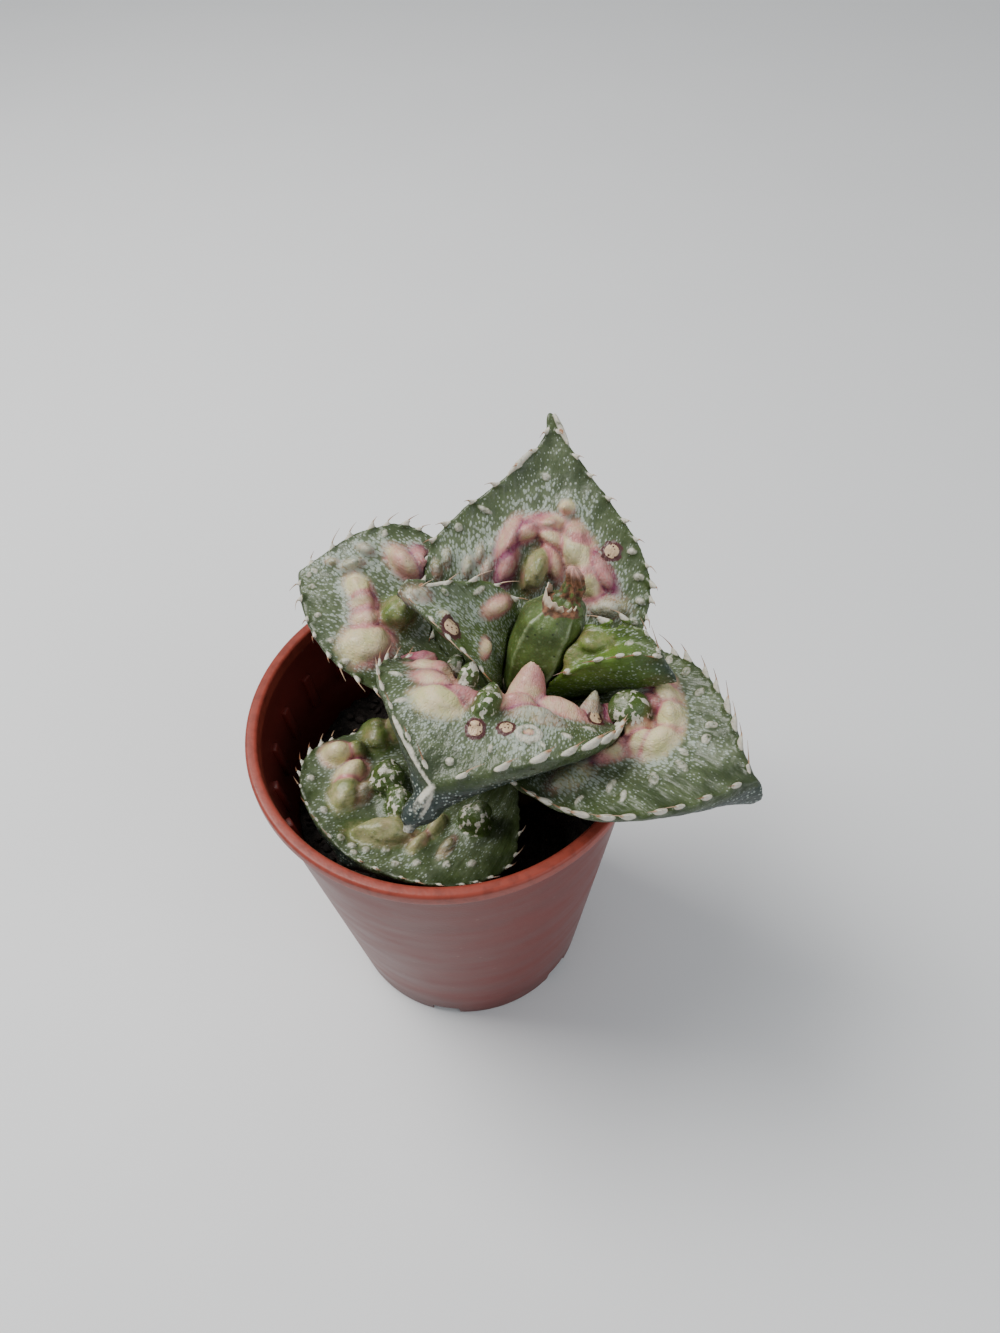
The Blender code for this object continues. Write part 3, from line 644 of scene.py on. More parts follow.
class Wire:
    """The output of a node, whose sums and products are nodes too."""

    def __init__(self, shader, socket):
        self.shader = shader
        self.socket = socket

    def __add__(self, other):
        return self.shader.math("ADD", self, other)

    def __sub__(self, other):
        return self.shader.math("SUBTRACT", self, other)

    def __rsub__(self, other):
        return self.shader.math("SUBTRACT", other, self)

    def __mul__(self, other):
        return self.shader.math("MULTIPLY", self, other)

    def most(self, other):
        """The larger of the two."""
        return self.shader.math("MAXIMUM", self, other)

    def centred(self, gain):
        """Noise about nought, with a gain."""
        return self * gain - gain / 2

    def step(self, low, high, to_low=0.0, to_high=1.0):
        """A soft step from to_low at low to to_high at high."""
        ends = {"Value": self, "From Min": low, "From Max": high, "To Min": to_low, "To Max": to_high}
        return self.shader.node("MapRange", "Result", ends, interpolation_type="SMOOTHSTEP")


class Shader:
    """A material and short names for the nodes it is made of."""

    def __init__(self, name):
        self.material = bpy.data.materials.new(name)
        self.material.use_nodes = True
        self.tree = self.material.node_tree
        self.surface = self.tree.nodes["Principled BSDF"]
        self.place = self.node("TexCoord", "Object", {})

    def node(self, kind, output, inputs, **settings):
        """One output of a new node, with its settings and inputs filled in."""
        made = self.tree.nodes.new("ShaderNode" + kind)
        for name, value in settings.items():
            setattr(made, name, value)
        for name, value in inputs.items():
            self.feed(made.inputs[name], value)
        return Wire(self, made.outputs[output])

    def feed(self, socket, value):
        """Links a wire to a socket, or sets the socket to a number, a direction or a colour."""
        if isinstance(value, Wire):
            self.tree.links.new(value.socket, socket)
        elif socket.type == "RGBA":
            socket.default_value = (*value, 1)
        else:
            socket.default_value = value

    def set(self, **values):
        for name, value in values.items():
            self.feed(self.surface.inputs[name.replace("_", " ")], value)

    def math(self, operation, first, second):
        return self.node("Math", 0, {0: first, 1: second}, operation=operation)

    def mix(self, share, first, second):
        """From the first colour to the second."""
        return self.node("Mix", 2, {0: share, 6: first, 7: second}, data_type="RGBA")

    def attribute(self, name):
        return self.node("Attribute", "Fac", {}, attribute_name=name)

    def height(self):
        """Height above the table, in metres."""
        return self.node("SeparateXYZ", "Z", {0: self.place})

    def noise(self, size, detail=3.0, where=None):
        """Soft noise whose lumps are about size mm across."""
        inputs = {"Vector": where or self.place, "Scale": 1 / (size * MM), "Detail": detail}
        return self.node("TexNoise", "Fac", inputs | {"Roughness": GRAIN_ROUGHNESS})

    def dots(self, size, radius, softness, where=None):
        """Spots of a radius, given as a share of the cell size in mm that they are strewn at."""
        inputs = {"Vector": where or self.place, "Scale": 1 / (size * MM)}
        return self.node("TexVoronoi", "Distance", inputs).step(radius, radius - softness)

    def stretched(self, scale, where=None):
        """Coordinates squeezed along some axes, so that marks come out long in them."""
        return self.node("Mapping", "Vector", {"Vector": where or self.place, "Scale": scale})

    def fan(self):
        """The coordinates that fan out from a leaf's base."""
        parts = [self.attribute(name) for name in ("reach", "ray", "rise")]
        return self.node("CombineXYZ", "Vector", dict(enumerate(parts)))

    def bump(self, height, distance):
        """Adds relief of a depth in millimetres on top of any that is there."""
        normal = self.surface.inputs["Normal"]
        inputs = {"Height": height, "Distance": distance * MM}
        if normal.is_linked:
            inputs["Normal"] = Wire(self, normal.links[0].from_socket)
        self.feed(normal, self.node("Bump", "Normal", inputs))


def shade_of(tone, share):
    return tuple(channel * share for channel in tone)


def leaf_skin(leaf):
    """Flecked green skin with ivory, pink and magenta warts, waxy teeth and corky scars."""
    own = bpy.context.scene.jaws_leaf
    shader = Shader(leaf.name + "_skin")
    clouds, dots, mix, mask = shader.noise, shader.dots, shader.mix, shader.attribute
    fan = shader.fan()
    long_marks = shader.stretched((0.42, 1, 1), fan)
    under = mask("underside")
    above = 1 - under
    drift = clouds(3.4)
    fine_noise = clouds(0.5)
    ragged = fine_noise.centred(0.55)
    wander = clouds(2.4).centred(0.7)

    # Green, its undersides darkened to blue-grey, partly their own tone and partly painted shade, its waxy
    # bloom and the flecks in it
    rays = clouds(1.5, where=shader.stretched((0.20, 1, 1), fan)).centred(1.6)
    amount = drift * 0.8 - 0.4 + mask("haze") + rays * 0.9
    fine = dots(0.27, amount * 0.54 + 0.08, 0.26, long_marks)
    coarse = dots(0.52, amount * 0.38 - 0.02, 0.14, long_marks)
    fleck = (fine * 0.6).most(coarse * 0.7) * above
    pale_dots = dots(0.50, 0.36, 0.16) * under
    green = mix(drift.step(0.35, 0.65), own.dark, own.green)
    bright = mix(drift.step(0.3, 0.7), own.young, shade_of(own.young, 0.6))
    # The undersides take the dark blue-grey: partly their own tone, partly painted shade.
    green = mix(under * 0.8, green, own.underside_shade)
    green = mix(amount.step(0.0, 1.2) * above * 0.50, green, own.bloom)
    green = mix(mask("young"), green, bright)

    # Flesh of the warts, pink at the foot and magenta in the folds, where the magenta is partly the flesh's
    # own and partly painted shade in the creases between warts
    blush = mask("blush") + wander
    flesh = mix(clouds(1.8).step(0.35, 0.7), own.cream, own.ivory)
    flesh = mix(blush.step(0.12, 0.62), flesh, own.pink)
    flesh = mix(blush.step(0.60, 1.05), flesh, own.magenta)
    flesh = mix(dots(1.1, 0.10, 0.06) * 0.4, flesh, own.bruise)
    fleshy = (mask("cream") + ragged * 0.6 + wander * 0.5).step(0.08, 0.88)
    skin = mix(fleshy, green, flesh)
    skin = mix((fleck + pale_dots * 0.6) * (0.90 - fleshy * 0.80), skin, own.fleck)

    # White wax, in streaks on the balls
    streaks = clouds(0.8, 2, shader.stretched((1, 1, 0.42))).step(0.50, 0.60) * mask("streaks")
    wax = (mask("wax").most(streaks * 0.8) + ragged).step(0.30, 0.72)
    skin = mix(wax, skin, mix(clouds(0.8), own.wax, shade_of(own.wax, 0.65)))
    skin = mix(mask("thorn").step(0.1, 0.7), skin, own.thorn)

    # Corky scars in a dark ring
    skin = mix((mask("bruise") + ragged * 2.6).step(0.35, 0.75), skin, own.bruise)
    cork = mix(dots(0.55, 0.36, 0.16), own.scar, own.bruise)
    skin = mix((mask("scar") + ragged * 1.6).step(0.4, 0.7), skin, cork)

    shader.set(Base_Color=skin, Roughness=(fleck + wax).step(0.0, 1.0, 0.38, 0.58))
    shader.set(Subsurface_Weight=0.12, Subsurface_Scale=1.2 * MM, Subsurface_Radius=(1.0, 0.6, 0.3))
    shader.bump(rays * (1.0 - fleshy * 0.9), 0.3)
    shader.bump(fleck * 0.6 + fine_noise * 0.4, 0.10)
    return shader.material


def hair_surface():
    """Tan at the root, brown and then dark towards the end, with some hairs pale as straw."""
    shader = Shader("tooth_hair")
    along = shader.attribute("along")
    tone = shader.mix(along.step(0.05, 0.40), bpy.context.scene.jaws_leaf.thorn, HAIR_BROWN)
    tone = shader.mix(along.step(0.55, 0.95), tone, HAIR_END)
    tone = shader.mix(shader.noise(9.0).step(0.44, 0.56) * 0.7, tone, HAIR_STRAW)
    shader.set(Base_Color=tone, Roughness=shader.noise(0.6).step(0.3, 0.7, 0.35, 0.5))
    return shader.material


def pot_surface():
    """Moulded red-brown plastic: faint bands, a little dust and smears, darker towards the foot, and a lip
    painted brighter orange as a highlight where it faces the light.
    """
    own = bpy.context.scene.jaws_pot
    shader = Shader("pot_plastic")
    clouds, dots, mix = shader.noise, shader.dots, shader.mix
    band = shader.stretched((1, 1, 3.0))
    cloud = clouds(16, 4, band)
    film = clouds(7, 4, band).step(0.56, 0.76) * 0.10
    foot = (clouds(6) * 0.010 + shader.height()).step(0.014, 0.005)
    plastic = mix(cloud.step(0.35, 0.68), shade_of(own.plastic, 0.78), own.plastic)
    plastic = mix(film, plastic, own.dust)
    plastic = mix(dots(3.2, 0.09, 0.05) * 0.4, plastic, own.dust)
    plastic = mix(foot * 0.5, plastic, shade_of(own.plastic, 0.3))
    # Painted highlight: the lip band takes a brighter orange than the wall.
    lip = shader.height().step((LIP_FOOT - 0.1) * MM, (LIP_FOOT + 0.4) * MM)
    highlit = mix(clouds(1.2, 4).step(0.4, 0.7), own.lip, shade_of(own.lip, 0.75))
    shader.set(Base_Color=mix(lip, plastic, highlit), Roughness=(cloud + film).step(0.3, 0.8, 0.34, 0.46))
    shader.set(Specular_IOR_Level=0.3)
    shader.bump(clouds(14, 1, shader.stretched((0.1, 0.1, 2.0))), 0.20)
    shader.bump(clouds(0.35, 2), 0.02)
    return shader.material


def peat_surface():
    own = bpy.context.scene.jaws_soil
    shader = Shader("peat")
    grain = shader.noise(0.7, 5)
    tone = shader.mix(shader.noise(2.4, 4).step(0.35, 0.7), own.peat, shade_of(own.peat, 3.0))
    tone = shader.mix(shader.dots(1.4, 0.16, 0.10), tone, PEAT_FIBRE)
    shader.set(Base_Color=tone, Roughness=grain.step(0.3, 0.7, 0.7, 0.95))
    shader.bump(grain + shader.noise(0.25, 2), 0.35)
    return shader.material


def stem_surface():
    shader = Shader("stem")
    bark = shader.noise(1.6, 5)
    tone = shader.mix(bark.step(0.35, 0.65), bpy.context.scene.jaws_soil.stem, STEM_BARK)
    shader.set(Base_Color=tone, Roughness=bark.step(0.3, 0.7, 0.5, 0.8))
    shader.bump(bark, 0.25)
    return shader.material


def bud_surface():
    """Smooth green pod with pale waxy ridges, dark pinpricks, and a dry brown collar and beak."""
    own = bpy.context.scene.jaws_bud
    shader = Shader("bud")
    clouds, dots, mix, mask = shader.noise, shader.dots, shader.mix, shader.attribute
    pale = mask("ridge") + clouds(1.1, 4).centred(1.1)
    pod = mix(clouds(3.0, 4).step(0.35, 0.7), shade_of(own.pod, 0.55), own.pod)
    pod = mix(dots(0.8, 0.34, 0.22) * 0.22, pod, own.ridge)
    pod = mix(dots(1.3, 0.14, 0.06) * 0.8, pod, shade_of(own.pod, 0.15))
    pod = mix(pale.step(0.62, 1.15) * 0.45, pod, own.ridge)
    dry = mix(clouds(0.8, 5).step(0.35, 0.65), own.papery, shade_of(own.papery, 0.3))
    dry = mix(mask("beak").step(0.2, 0.9), dry, own.beak)
    dried = mask("dry") + clouds(0.9, 4).centred(0.9)
    tone = mix(mask("torn"), mix(dried.step(0.42, 0.58), pod, dry), own.torn)
    shader.set(Base_Color=tone, Roughness=dried.step(0.3, 0.7, 0.36, 0.75))
    shader.set(Subsurface_Weight=0.1, Subsurface_Scale=1.0 * MM)
    shader.bump(clouds(0.4) + pale * 0.4, 0.10)
    return shader.material


def floor_surface():
    own = bpy.context.scene.jaws_stage
    shader = Shader("pale_floor")
    tone = shader.mix(shader.noise(90), own.floor, shade_of(own.floor, 0.97))
    shader.set(Base_Color=tone, Roughness=shader.noise(40).step(0.3, 0.7, 0.6, 0.7))
    return shader.material


# Leaf form


def width_share(leaf, s, t):
    """The half width at s as a share of the widest, on the side that t is on."""
    side = (t > 0).astype(int)
    root = np.take(leaf.root, side)
    near = root + (1 - root) * np.sin(np.pi / 2 * np.minimum(s / leaf.shoulder, 1))
    rest = np.clip((s - leaf.shoulder) / (1 - leaf.shoulder), 0, 1)
    far = np.maximum(np.cos(np.pi / 2 * rest), 0) ** np.take(leaf.taper, side)
    return np.maximum(np.where(s < leaf.shoulder, near, far), NARROWEST)


def leaf_normal(leaf):
    """The leaf's own up direction."""
    along = Vector(leaf.tip) - Vector(leaf.base)
    normal = along.cross(Vector(leaf.left) - Vector(leaf.right)).normalized()
    return normal if normal.z > 0 else -normal


def upper_face(leaf, s, t):
    """Points of the upper face: s runs from base to tip, t from the left margin (-1) to the right (1)."""
    s, t = np.broadcast_arrays(np.asarray(s, float), np.asarray(t, float))
    base, tip, left, right = np.array([leaf.base, leaf.tip, leaf.left, leaf.right], float)
    at = leaf.shoulder
    middle = (left + right) / 2 - np.array(leaf_normal(leaf)) * leaf.cup
    bend = (middle - base * (1 - at) ** 2 - tip * at**2) / (2 * at * (1 - at))
    run = s[..., None]
    spine = base * (1 - run) ** 2 + bend * (2 * run * (1 - run)) + tip * run**2
    lowest = math.sqrt(FACE_SOFTNESS)
    reach = (np.sqrt(t * t + FACE_SOFTNESS) - lowest) / (math.sqrt(1 + FACE_SOFTNESS) - lowest)
    side = np.where(t[..., None] < 0, left, right) - middle
    return spine + side * (width_share(leaf, s, t) * reach)[..., None]


def lower_face(leaf, s, t):
    """Points of the full, keeled underside, which keeps its depth nearly to the tip as a chin."""
    s, t = np.broadcast_arrays(np.asarray(s, float), np.asarray(t, float))
    depth = (leaf.thick * (1 - s) + leaf.chin * s) * np.minimum(TIP_DEPTH + CHIN_SLOPE * (1 - s), 1)
    run = s[..., None]
    aside = np.array(leaf.toe, float) * run**3 + np.array(leaf.keel_shift, float) * 4 * run * (1 - run)
    drop = aside - depth[..., None] * np.array(leaf_normal(leaf))
    return upper_face(leaf, s, t) + drop * ((1 - np.abs(t)) ** KEEL)[..., None]


def face_point(leaf, s, t):
    return Vector(upper_face(leaf, s, t))


def surface_frame(leaf, s, t, heading):
    """The point, and the directions of the heading, across it and out of the face."""
    edge = 0.99
    along = face_point(leaf, min(s + NEARBY, edge), t) - face_point(leaf, max(s - NEARBY, 0), t)
    across = face_point(leaf, s, min(t + NEARBY, edge)) - face_point(leaf, s, max(t - NEARBY, -edge))
    out = along.cross(across).normalized()
    if out.dot(leaf_normal(leaf)) < 0:
        out = -out
    plan = Vector((math.cos(math.radians(heading)), math.sin(math.radians(heading)), 0))
    first = (plan - out * plan.dot(out)).normalized()
    return face_point(leaf, s, t), first, out.cross(first), out


def axes_matrix(point, first, second, third):
    """The matrix that puts a unit shape at a point with its axes along three vectors."""
    turn = Matrix((first, second, third)).transposed().to_4x4()
    return Matrix.Translation(point) @ turn


def leaf_body(leaf):
    """A fine ball whose rings are moved to the leaf's sections."""
    body = ball(AROUND_LEAF, ALONG_LEAF)
    points = coordinates(body) * MM
    share = np.arccos(np.clip(points[:, 2], -1, 1)) / np.pi
    s = np.clip((share - FIRST_SHARE) / (LAST_SHARE - FIRST_SHARE), 0, 1)
    ring = np.hypot(points[:, 0], points[:, 1])
    t = np.where(ring > 1e-5, points[:, 0] / np.maximum(ring, 1e-5), 0)
    moved = np.where((points[:, 1] >= 0)[:, None], upper_face(leaf, s, t), lower_face(leaf, s, t))
    closing = np.minimum(np.clip(share / FIRST_SHARE, 0, 1), np.clip((1 - share) / (1 - LAST_SHARE), 0, 1))
    for end in (0.0, 1.0):
        middle = (upper_face(leaf, end, 0) + lower_face(leaf, end, 0)) / 2
        at_end = s == end
        moved[at_end] = middle + (moved[at_end] - middle) * closing[at_end, None]
    set_coordinates(body, moved)
    face_out(body)
    return body


def wart_matrix(leaf, wart):
    """A half-sunk egg, or for a ball one that is lifted off the face."""
    lift = FLESH[wart.flesh][5] if wart.form == "egg" else 0.0
    point, first, second, out = surface_frame(leaf, wart.s, wart.t, wart.heading)
    centre = point + out * (wart.height * lift)
    tall = wart.height * (1 - lift)
    return axes_matrix(centre, first * wart.length / 2, second * wart.width / 2, out * tall)


def skirt_matrix(leaf, wart):
    """The low swelling round a wart's foot."""
    point, first, second, out = surface_frame(leaf, wart.s, wart.t, wart.heading)
    low = out * min(wart.height * 0.22, 0.8)
    return axes_matrix(point, first * (wart.length / 2 + SKIRT), second * (wart.width / 2 + SKIRT), low)


def blob_matrix(leaf, blob):
    """A low white tubercle that points away from the leaf's warts."""
    s, t, long, wide = blob
    middle = np.mean([upper_face(leaf, wart.s, wart.t) for wart in leaf.warts], axis=0)
    away = face_point(leaf, s, t) - Vector(middle)
    heading = math.degrees(math.atan2(away.y, away.x))
    point, first, second, out = surface_frame(leaf, s, t, heading)
    return axes_matrix(point, first * long / 2, second * wide * BLOB_WIDTH, out * BLOB_HEIGHT)


def scar_matrix(leaf, scar):
    """A low round plate on the skin, which a wart may have raised there."""
    s, t, radius = scar
    point, first, second, out = surface_frame(leaf, s, t, 0)
    lift = 0.0
    for wart in leaf.warts:
        offset = wart_matrix(leaf, wart).inverted() @ point
        if offset.x**2 + offset.y**2 < 1:
            lift = max(lift, wart.height * math.sqrt(1 - offset.x**2 - offset.y**2))
    return axes_matrix(point + out * lift, first * radius, second * radius, out * SCAR_HEIGHT)


def margin_length(leaf, side):
    points = upper_face(leaf, np.linspace(0, 1, MARGIN_PLACES), side)
    return float(np.linalg.norm(np.diff(points, axis=0), axis=1).sum())


def teeth(leaf):
    """(matrix, start of its hair's direction, way its hair bends) of each tooth on both margins."""
    own = bpy.context.scene.jaws_leaf
    rng = random.Random(SEED + len(leaf.warts))
    normal = leaf_normal(leaf)
    for side in (-1, 1):
        spacing = own.tooth_spacing / MM
        count = max(3, round(margin_length(leaf, side) * (LAST_TOOTH - leaf.toothed) / spacing))
        for number in range(count):
            share = (number + rng.uniform(-0.18, 0.18)) / (count - 1)
            s = min(leaf.toothed + (LAST_TOOTH - leaf.toothed) * share, LAST_TOOTH)
            size = rng.uniform(0.75, 1.1) * leaf.tooth_size * (0.8 + 0.3 * math.sin(math.pi * s))
            if side < 0:
                size *= leaf.left_teeth
            place = face_point(leaf, s, side)
            ahead = face_point(leaf, min(s + NEARBY, 1), side)
            along = (ahead - face_point(leaf, s - NEARBY, side)).normalized()
            outward = place - face_point(leaf, s, side * 0.8)
            outward = (outward - along * outward.dot(along)).normalized()
            up = (outward * (0.9 - 0.6 * leaf.upright) + normal * (0.4 + 0.6 * leaf.upright)).normalized()
            wide = along.cross(up).normalized()
            tall = own.tooth_height / MM * size
            foot = axes_matrix(
                place - outward * 0.4 - up * 0.2 + along * 0.2 * size,
                along * own.tooth_length / MM / 2 * size,
                wide * TOOTH_WIDTH * size,
                up * tall - along * TOOTH_LEAN * size,
            )
            yield foot, (up * 0.7 + normal * 0.3 - along * 0.6).normalized(), -along


def prow_matrix(leaf):
    """The white ridge from the tip down to the chin."""
    top = Vector(leaf.tip)
    ahead = (top - face_point(leaf, 0.9, 0)).normalized()
    end = Vector(lower_face(leaf, 0.97, 0)) + ahead * 0.6 + leaf_normal(leaf) * 0.3
    run = end - top
    wide = run.cross(ahead).normalized()
    middle = top.lerp(end, 0.52) + ahead * 0.4
    return axes_matrix(middle, run * 0.57, wide * 0.9, run.cross(wide).normalized() * 0.9)


def chin_matrix(leaf):
    """The blunt end of the keel, below the tip."""
    toe, heel = Vector(lower_face(leaf, 0.98, 0)), Vector(lower_face(leaf, 0.72, 0))
    run = toe - heel
    wide = run.cross(leaf_normal(leaf)).normalized()
    tall = wide.cross(run).normalized()
    if tall.dot(leaf_normal(leaf)) < 0:
        tall = -tall
    radius = leaf.prow
    return axes_matrix((toe + heel) / 2 + tall * radius * 0.6, run * 0.6, wide * radius, tall * radius)


def ridge_matrix(leaf, ridge):
    """A thin white strip along part of a margin."""
    start_s, end_s, side, radius = ridge
    start, end = face_point(leaf, start_s, side), face_point(leaf, end_s, side)
    run = end - start
    normal = leaf_normal(leaf)
    across = run.cross(normal).normalized()
    return axes_matrix((start + end) / 2, run * 0.55, across * radius, normal * radius)


def white_matrices(leaf):
    """Every low white part but the teeth, with how white it is."""
    found = [(blob_matrix(leaf, blob), 0.72) for blob in leaf.blobs]
    found += [(ridge_matrix(leaf, ridge), 0.9) for ridge in leaf.ridges]
    if leaf.prow:
        found.append((prow_matrix(leaf), 0.9))
    return found


def build_leaf(leaf, forms, tooth):
    """The leaf with its warts, tubercles, scars and teeth fused into one skin."""
    own = bpy.context.scene.jaws_leaf
    eggs = forms["eggs"]
    pieces = [leaf_body(leaf)]
    for number, wart in enumerate(leaf.warts):
        master = eggs[number % len(eggs)] if wart.form == "egg" else forms[wart.form]
        pieces.append(copy_of(master, wart_matrix(leaf, wart)))
        if wart.form != "ring":
            pieces.append(copy_of(eggs[0], skirt_matrix(leaf, wart)))
    if leaf.prow:
        pieces.append(copy_of(eggs[0], chin_matrix(leaf)))
    made = join(pieces, "fine_" + leaf.name)
    remesh(made, own.detail * 1.25, 9)
    swell(made, 3.0, 0.5)
    pieces = [made]
    for number, (matrix, _) in enumerate(white_matrices(leaf)):
        pieces.append(copy_of(eggs[number % len(eggs)], matrix))
    pieces += [copy_of(eggs[0], scar_matrix(leaf, scar)) for scar in leaf.scars]
    pieces += [copy_of(tooth, foot) for foot, _, _ in teeth(leaf)]
    join(pieces, "fine_" + leaf.name)
    remesh(made, own.detail, 1)
    return made


# Tissue of the leaf skin


def soft_step(values, low, high):
    share = np.clip((values - low) / (high - low), 0, 1)
    return share * share * (3 - 2 * share)


def local_places(matrix, points):
    """Heights and distances from the axis and the middle, in the frame where a shape is the unit ball."""
    back = np.array(matrix.inverted())
    local = points @ back[:3, :3].T + back[:3, 3]
    return local[:, 2], np.hypot(local[:, 0], local[:, 1]), np.linalg.norm(local, axis=1)


def nearest_places(leaf, points):
    """The (s, t) and side of the leaf's own faces nearest to each point."""
    along, across = np.linspace(0, 1, FACE_PLACES), np.linspace(-1, 1, FACE_PLACES)
    s, t = np.meshgrid(along, across, indexing="ij")
    faces = np.concatenate([upper_face(leaf, s, t).reshape(-1, 3), lower_face(leaf, s, t).reshape(-1, 3)])
    tree = kdtree.KDTree(len(faces))
    for index, face in enumerate(faces):
        tree.insert(face, index)
    tree.balance()
    found = np.array([tree.find(point)[1] for point in points])
    count = s.size
    return s.ravel()[found % count], t.ravel()[found % count], (found >= count).astype(float)


def paint_leaf(leaf, thing):
    """Stores, for each point of the skin, how much of each kind of tissue it is."""
    points = coordinates(thing)
    s, t, under = nearest_places(leaf, points)
    kinds = ("cream", "blush", "wax", "young", "streaks", "haze", "scar", "bruise", "thorn")
    masks = {kind: np.zeros(len(points)) for kind in kinds}

    def raise_mask(kind, values):
        masks[kind] = np.maximum(masks[kind], values)

    nearest = np.full(len(points), 9.0)
    second = nearest.copy()
    weights = np.full(len(points), 1e-9)
    clear = np.ones(len(points))
    inward = np.array((Vector(leaf.base) - Vector(leaf.tip)).normalized())
    for wart in leaf.warts:
        cream, blush, wax, young, streaks, _ = FLESH[wart.flesh]
        matrix = wart_matrix(leaf, wart)
        up, across, radius = local_places(matrix, points)
        over = soft_step(up, -0.9, -0.4)
        on = np.clip((1.7 - radius) / 0.9, 0, 1) * over
        if wart.form == "ring":
            on = soft_step(np.abs(across - RING_RADIUS), 0.45, 0.15) * (np.abs(up) < 0.6)
        cap = soft_step(up, 0.72, 0.95)
        raise_mask("cream", on * cream)
        if cream > FLESHY:
            toward = (points - np.array(matrix.translation)) @ inward / (wart.length / 2)
            foot = soft_step(up, 0.85, 0.1) * soft_step(toward, -0.35, 0.6)
            weight = np.exp(-4 * radius)
            masks["blush"] += weight * (blush + 0.40 * foot)
            weights += weight
            second = np.minimum(second, np.maximum(nearest, radius))
            nearest = np.minimum(nearest, radius)
        raise_mask("wax", on * (wax + streaks * 0.6 * cap))
        raise_mask("young", on * young)
        raise_mask("streaks", soft_step(radius, 1.2, 1.0) * over * streaks)
        clear = np.minimum(clear, 1 - 0.85 * on * (wart.flesh in ("ball", "apple", "lime")))
        gap = np.maximum((radius - 1) * (wart.length + wart.width) / 4, 0)
        raise_mask("haze", 0.6 * np.exp(-gap / 3.5) + 0.6 * np.exp(-gap / 12.0))
    # Painted shade: points in the crease between two neighbouring warts get extra blush, which turns them
    # magenta.
    crease_shade = soft_step(second - nearest, 0.55, 0.0) * soft_step(second, 1.5, 1.0)
    masks["blush"] = masks["blush"] / weights + 0.46 * crease_shade + 0.2 * soft_step(nearest, 0.95, 1.3)
    for matrix, strength in white_matrices(leaf):
        _, _, radius = local_places(matrix, points)
        raise_mask("wax", soft_step(radius, 1.45, 0.65) * strength)
    for foot, _, _ in teeth(leaf):
        up, across, _ = local_places(foot, points)
        near = soft_step(across, 1.15, 0.6) * (up < 1.4)
        raise_mask("wax", near * soft_step(up, 0.05, 0.4))
        raise_mask("thorn", near * soft_step(up, 0.66, 0.98))
    for scar in leaf.scars:
        up, across, _ = local_places(scar_matrix(leaf, scar), points)
        near = np.abs(up) < 3
        raise_mask("scar", soft_step(across, 1.05, 0.70) * near)
        raise_mask("bruise", soft_step(across, 1.75, 0.95) * near)
    margin = 1 - 0.55 * np.abs(t) ** 6
    masks["haze"] = np.clip(masks["haze"], 0.15, 1.2) * margin * clear * leaf.hazy
    raise_mask("young", leaf.young * soft_step(s, 1.1, 0.35))
    masks["underside"] = under * soft_step(1 - np.abs(t), 0.0, 0.12)
    set_attributes(thing, masks | fan_coordinates(leaf, points))


def fan_coordinates(leaf, points):
    """Coordinates in metres that fan out from the leaf's base, for marks that run away from it."""
    normal = leaf_normal(leaf)
    along = (Vector(leaf.tip) - Vector(leaf.base)).normalized()
    offset = points - np.array(leaf.base)
    ahead, aside = offset @ np.array(along), offset @ np.array(normal.cross(along))
    reach = np.hypot(ahead, aside)
    ray = np.arctan2(aside, ahead) * np.sqrt(MIDDLE_REACH * reach)
    return {"reach": reach * MM, "ray": ray * MM, "rise": offset @ np.array(normal) * MM}


def hairs(leaf, hair, name):
    """The fine curved hairs that the teeth end in."""
    own = bpy.context.scene.jaws_leaf
    rng = random.Random(SEED * 3 + len(leaf.warts))
    made = []
    for foot, direction, way in teeth(leaf):
        reach = own.hair_length / MM * leaf.hair * rng.uniform(0.45, 1.15)
        root = foot @ Vector((0, 0, HAIR_ROOT))
        sway = Vector([rng.uniform(-0.15, 0.15) for _ in range(3)])
        bend = (way * rng.uniform(0.35, 0.8) + sway) * reach
        one = copy_of(hair, Matrix.Identity(4))
        points = coordinates(one)
        up = points[:, 2:3].copy()
        aside = direction.orthogonal().normalized()
        second = direction.cross(aside)
        spread = points[:, 0:1] * np.array(aside) + points[:, 1:2] * np.array(second)
        path = np.array(root) + np.array(direction) * up * reach + np.array(bend) * up**2
        set_coordinates(one, path + spread * (own.hair_radius / MM))
        set_attributes(one, {"along": up[:, 0]})
        made.append(one)
    return join(made, name)


# Turned and loose pieces


def outer_radius(height):
    """The outside of the pot's wall, below its lip."""
    wall = bpy.context.scene.jaws_pot.wall / MM
    return BASE_RADIUS + (RIM_RADIUS - LIP_WIDTH + wall - BASE_RADIUS) * height / POT_HEIGHT


def raise_profile(name, profile, segments):
    """A disc extruded and resized ring by ring along a profile of (radius, height) in millimetres."""
    radius, height = profile[0]
    place = (0, 0, height * MM)
    made = primitive("circle", vertices=segments, radius=radius * MM, fill_type="NGON", location=place)
    made.name = name
    bpy.ops.object.transform_apply(location=True)
    edit_all(made)
    for next_radius, next_height in profile[1:]:
        rise = {"value": (0, 0, (next_height - height) * MM)}
        bpy.ops.mesh.extrude_region_move(TRANSFORM_OT_translate=rise)
        share = next_radius / radius
        bpy.ops.transform.resize(value=(share, share, 1), center_override=(0, 0, next_height * MM))
        radius, height = next_radius, next_height
    face_out(made)
    return made


def rounded_corner(centre, radius, start, end, steps=5):
    """Points of an arc, from the start angle to the end one in degrees."""
    angles = [math.radians(start + (end - start) * step / steps) for step in range(steps + 1)]
    return [(centre[0] + radius * math.cos(a), centre[1] + radius * math.sin(a)) for a in angles]


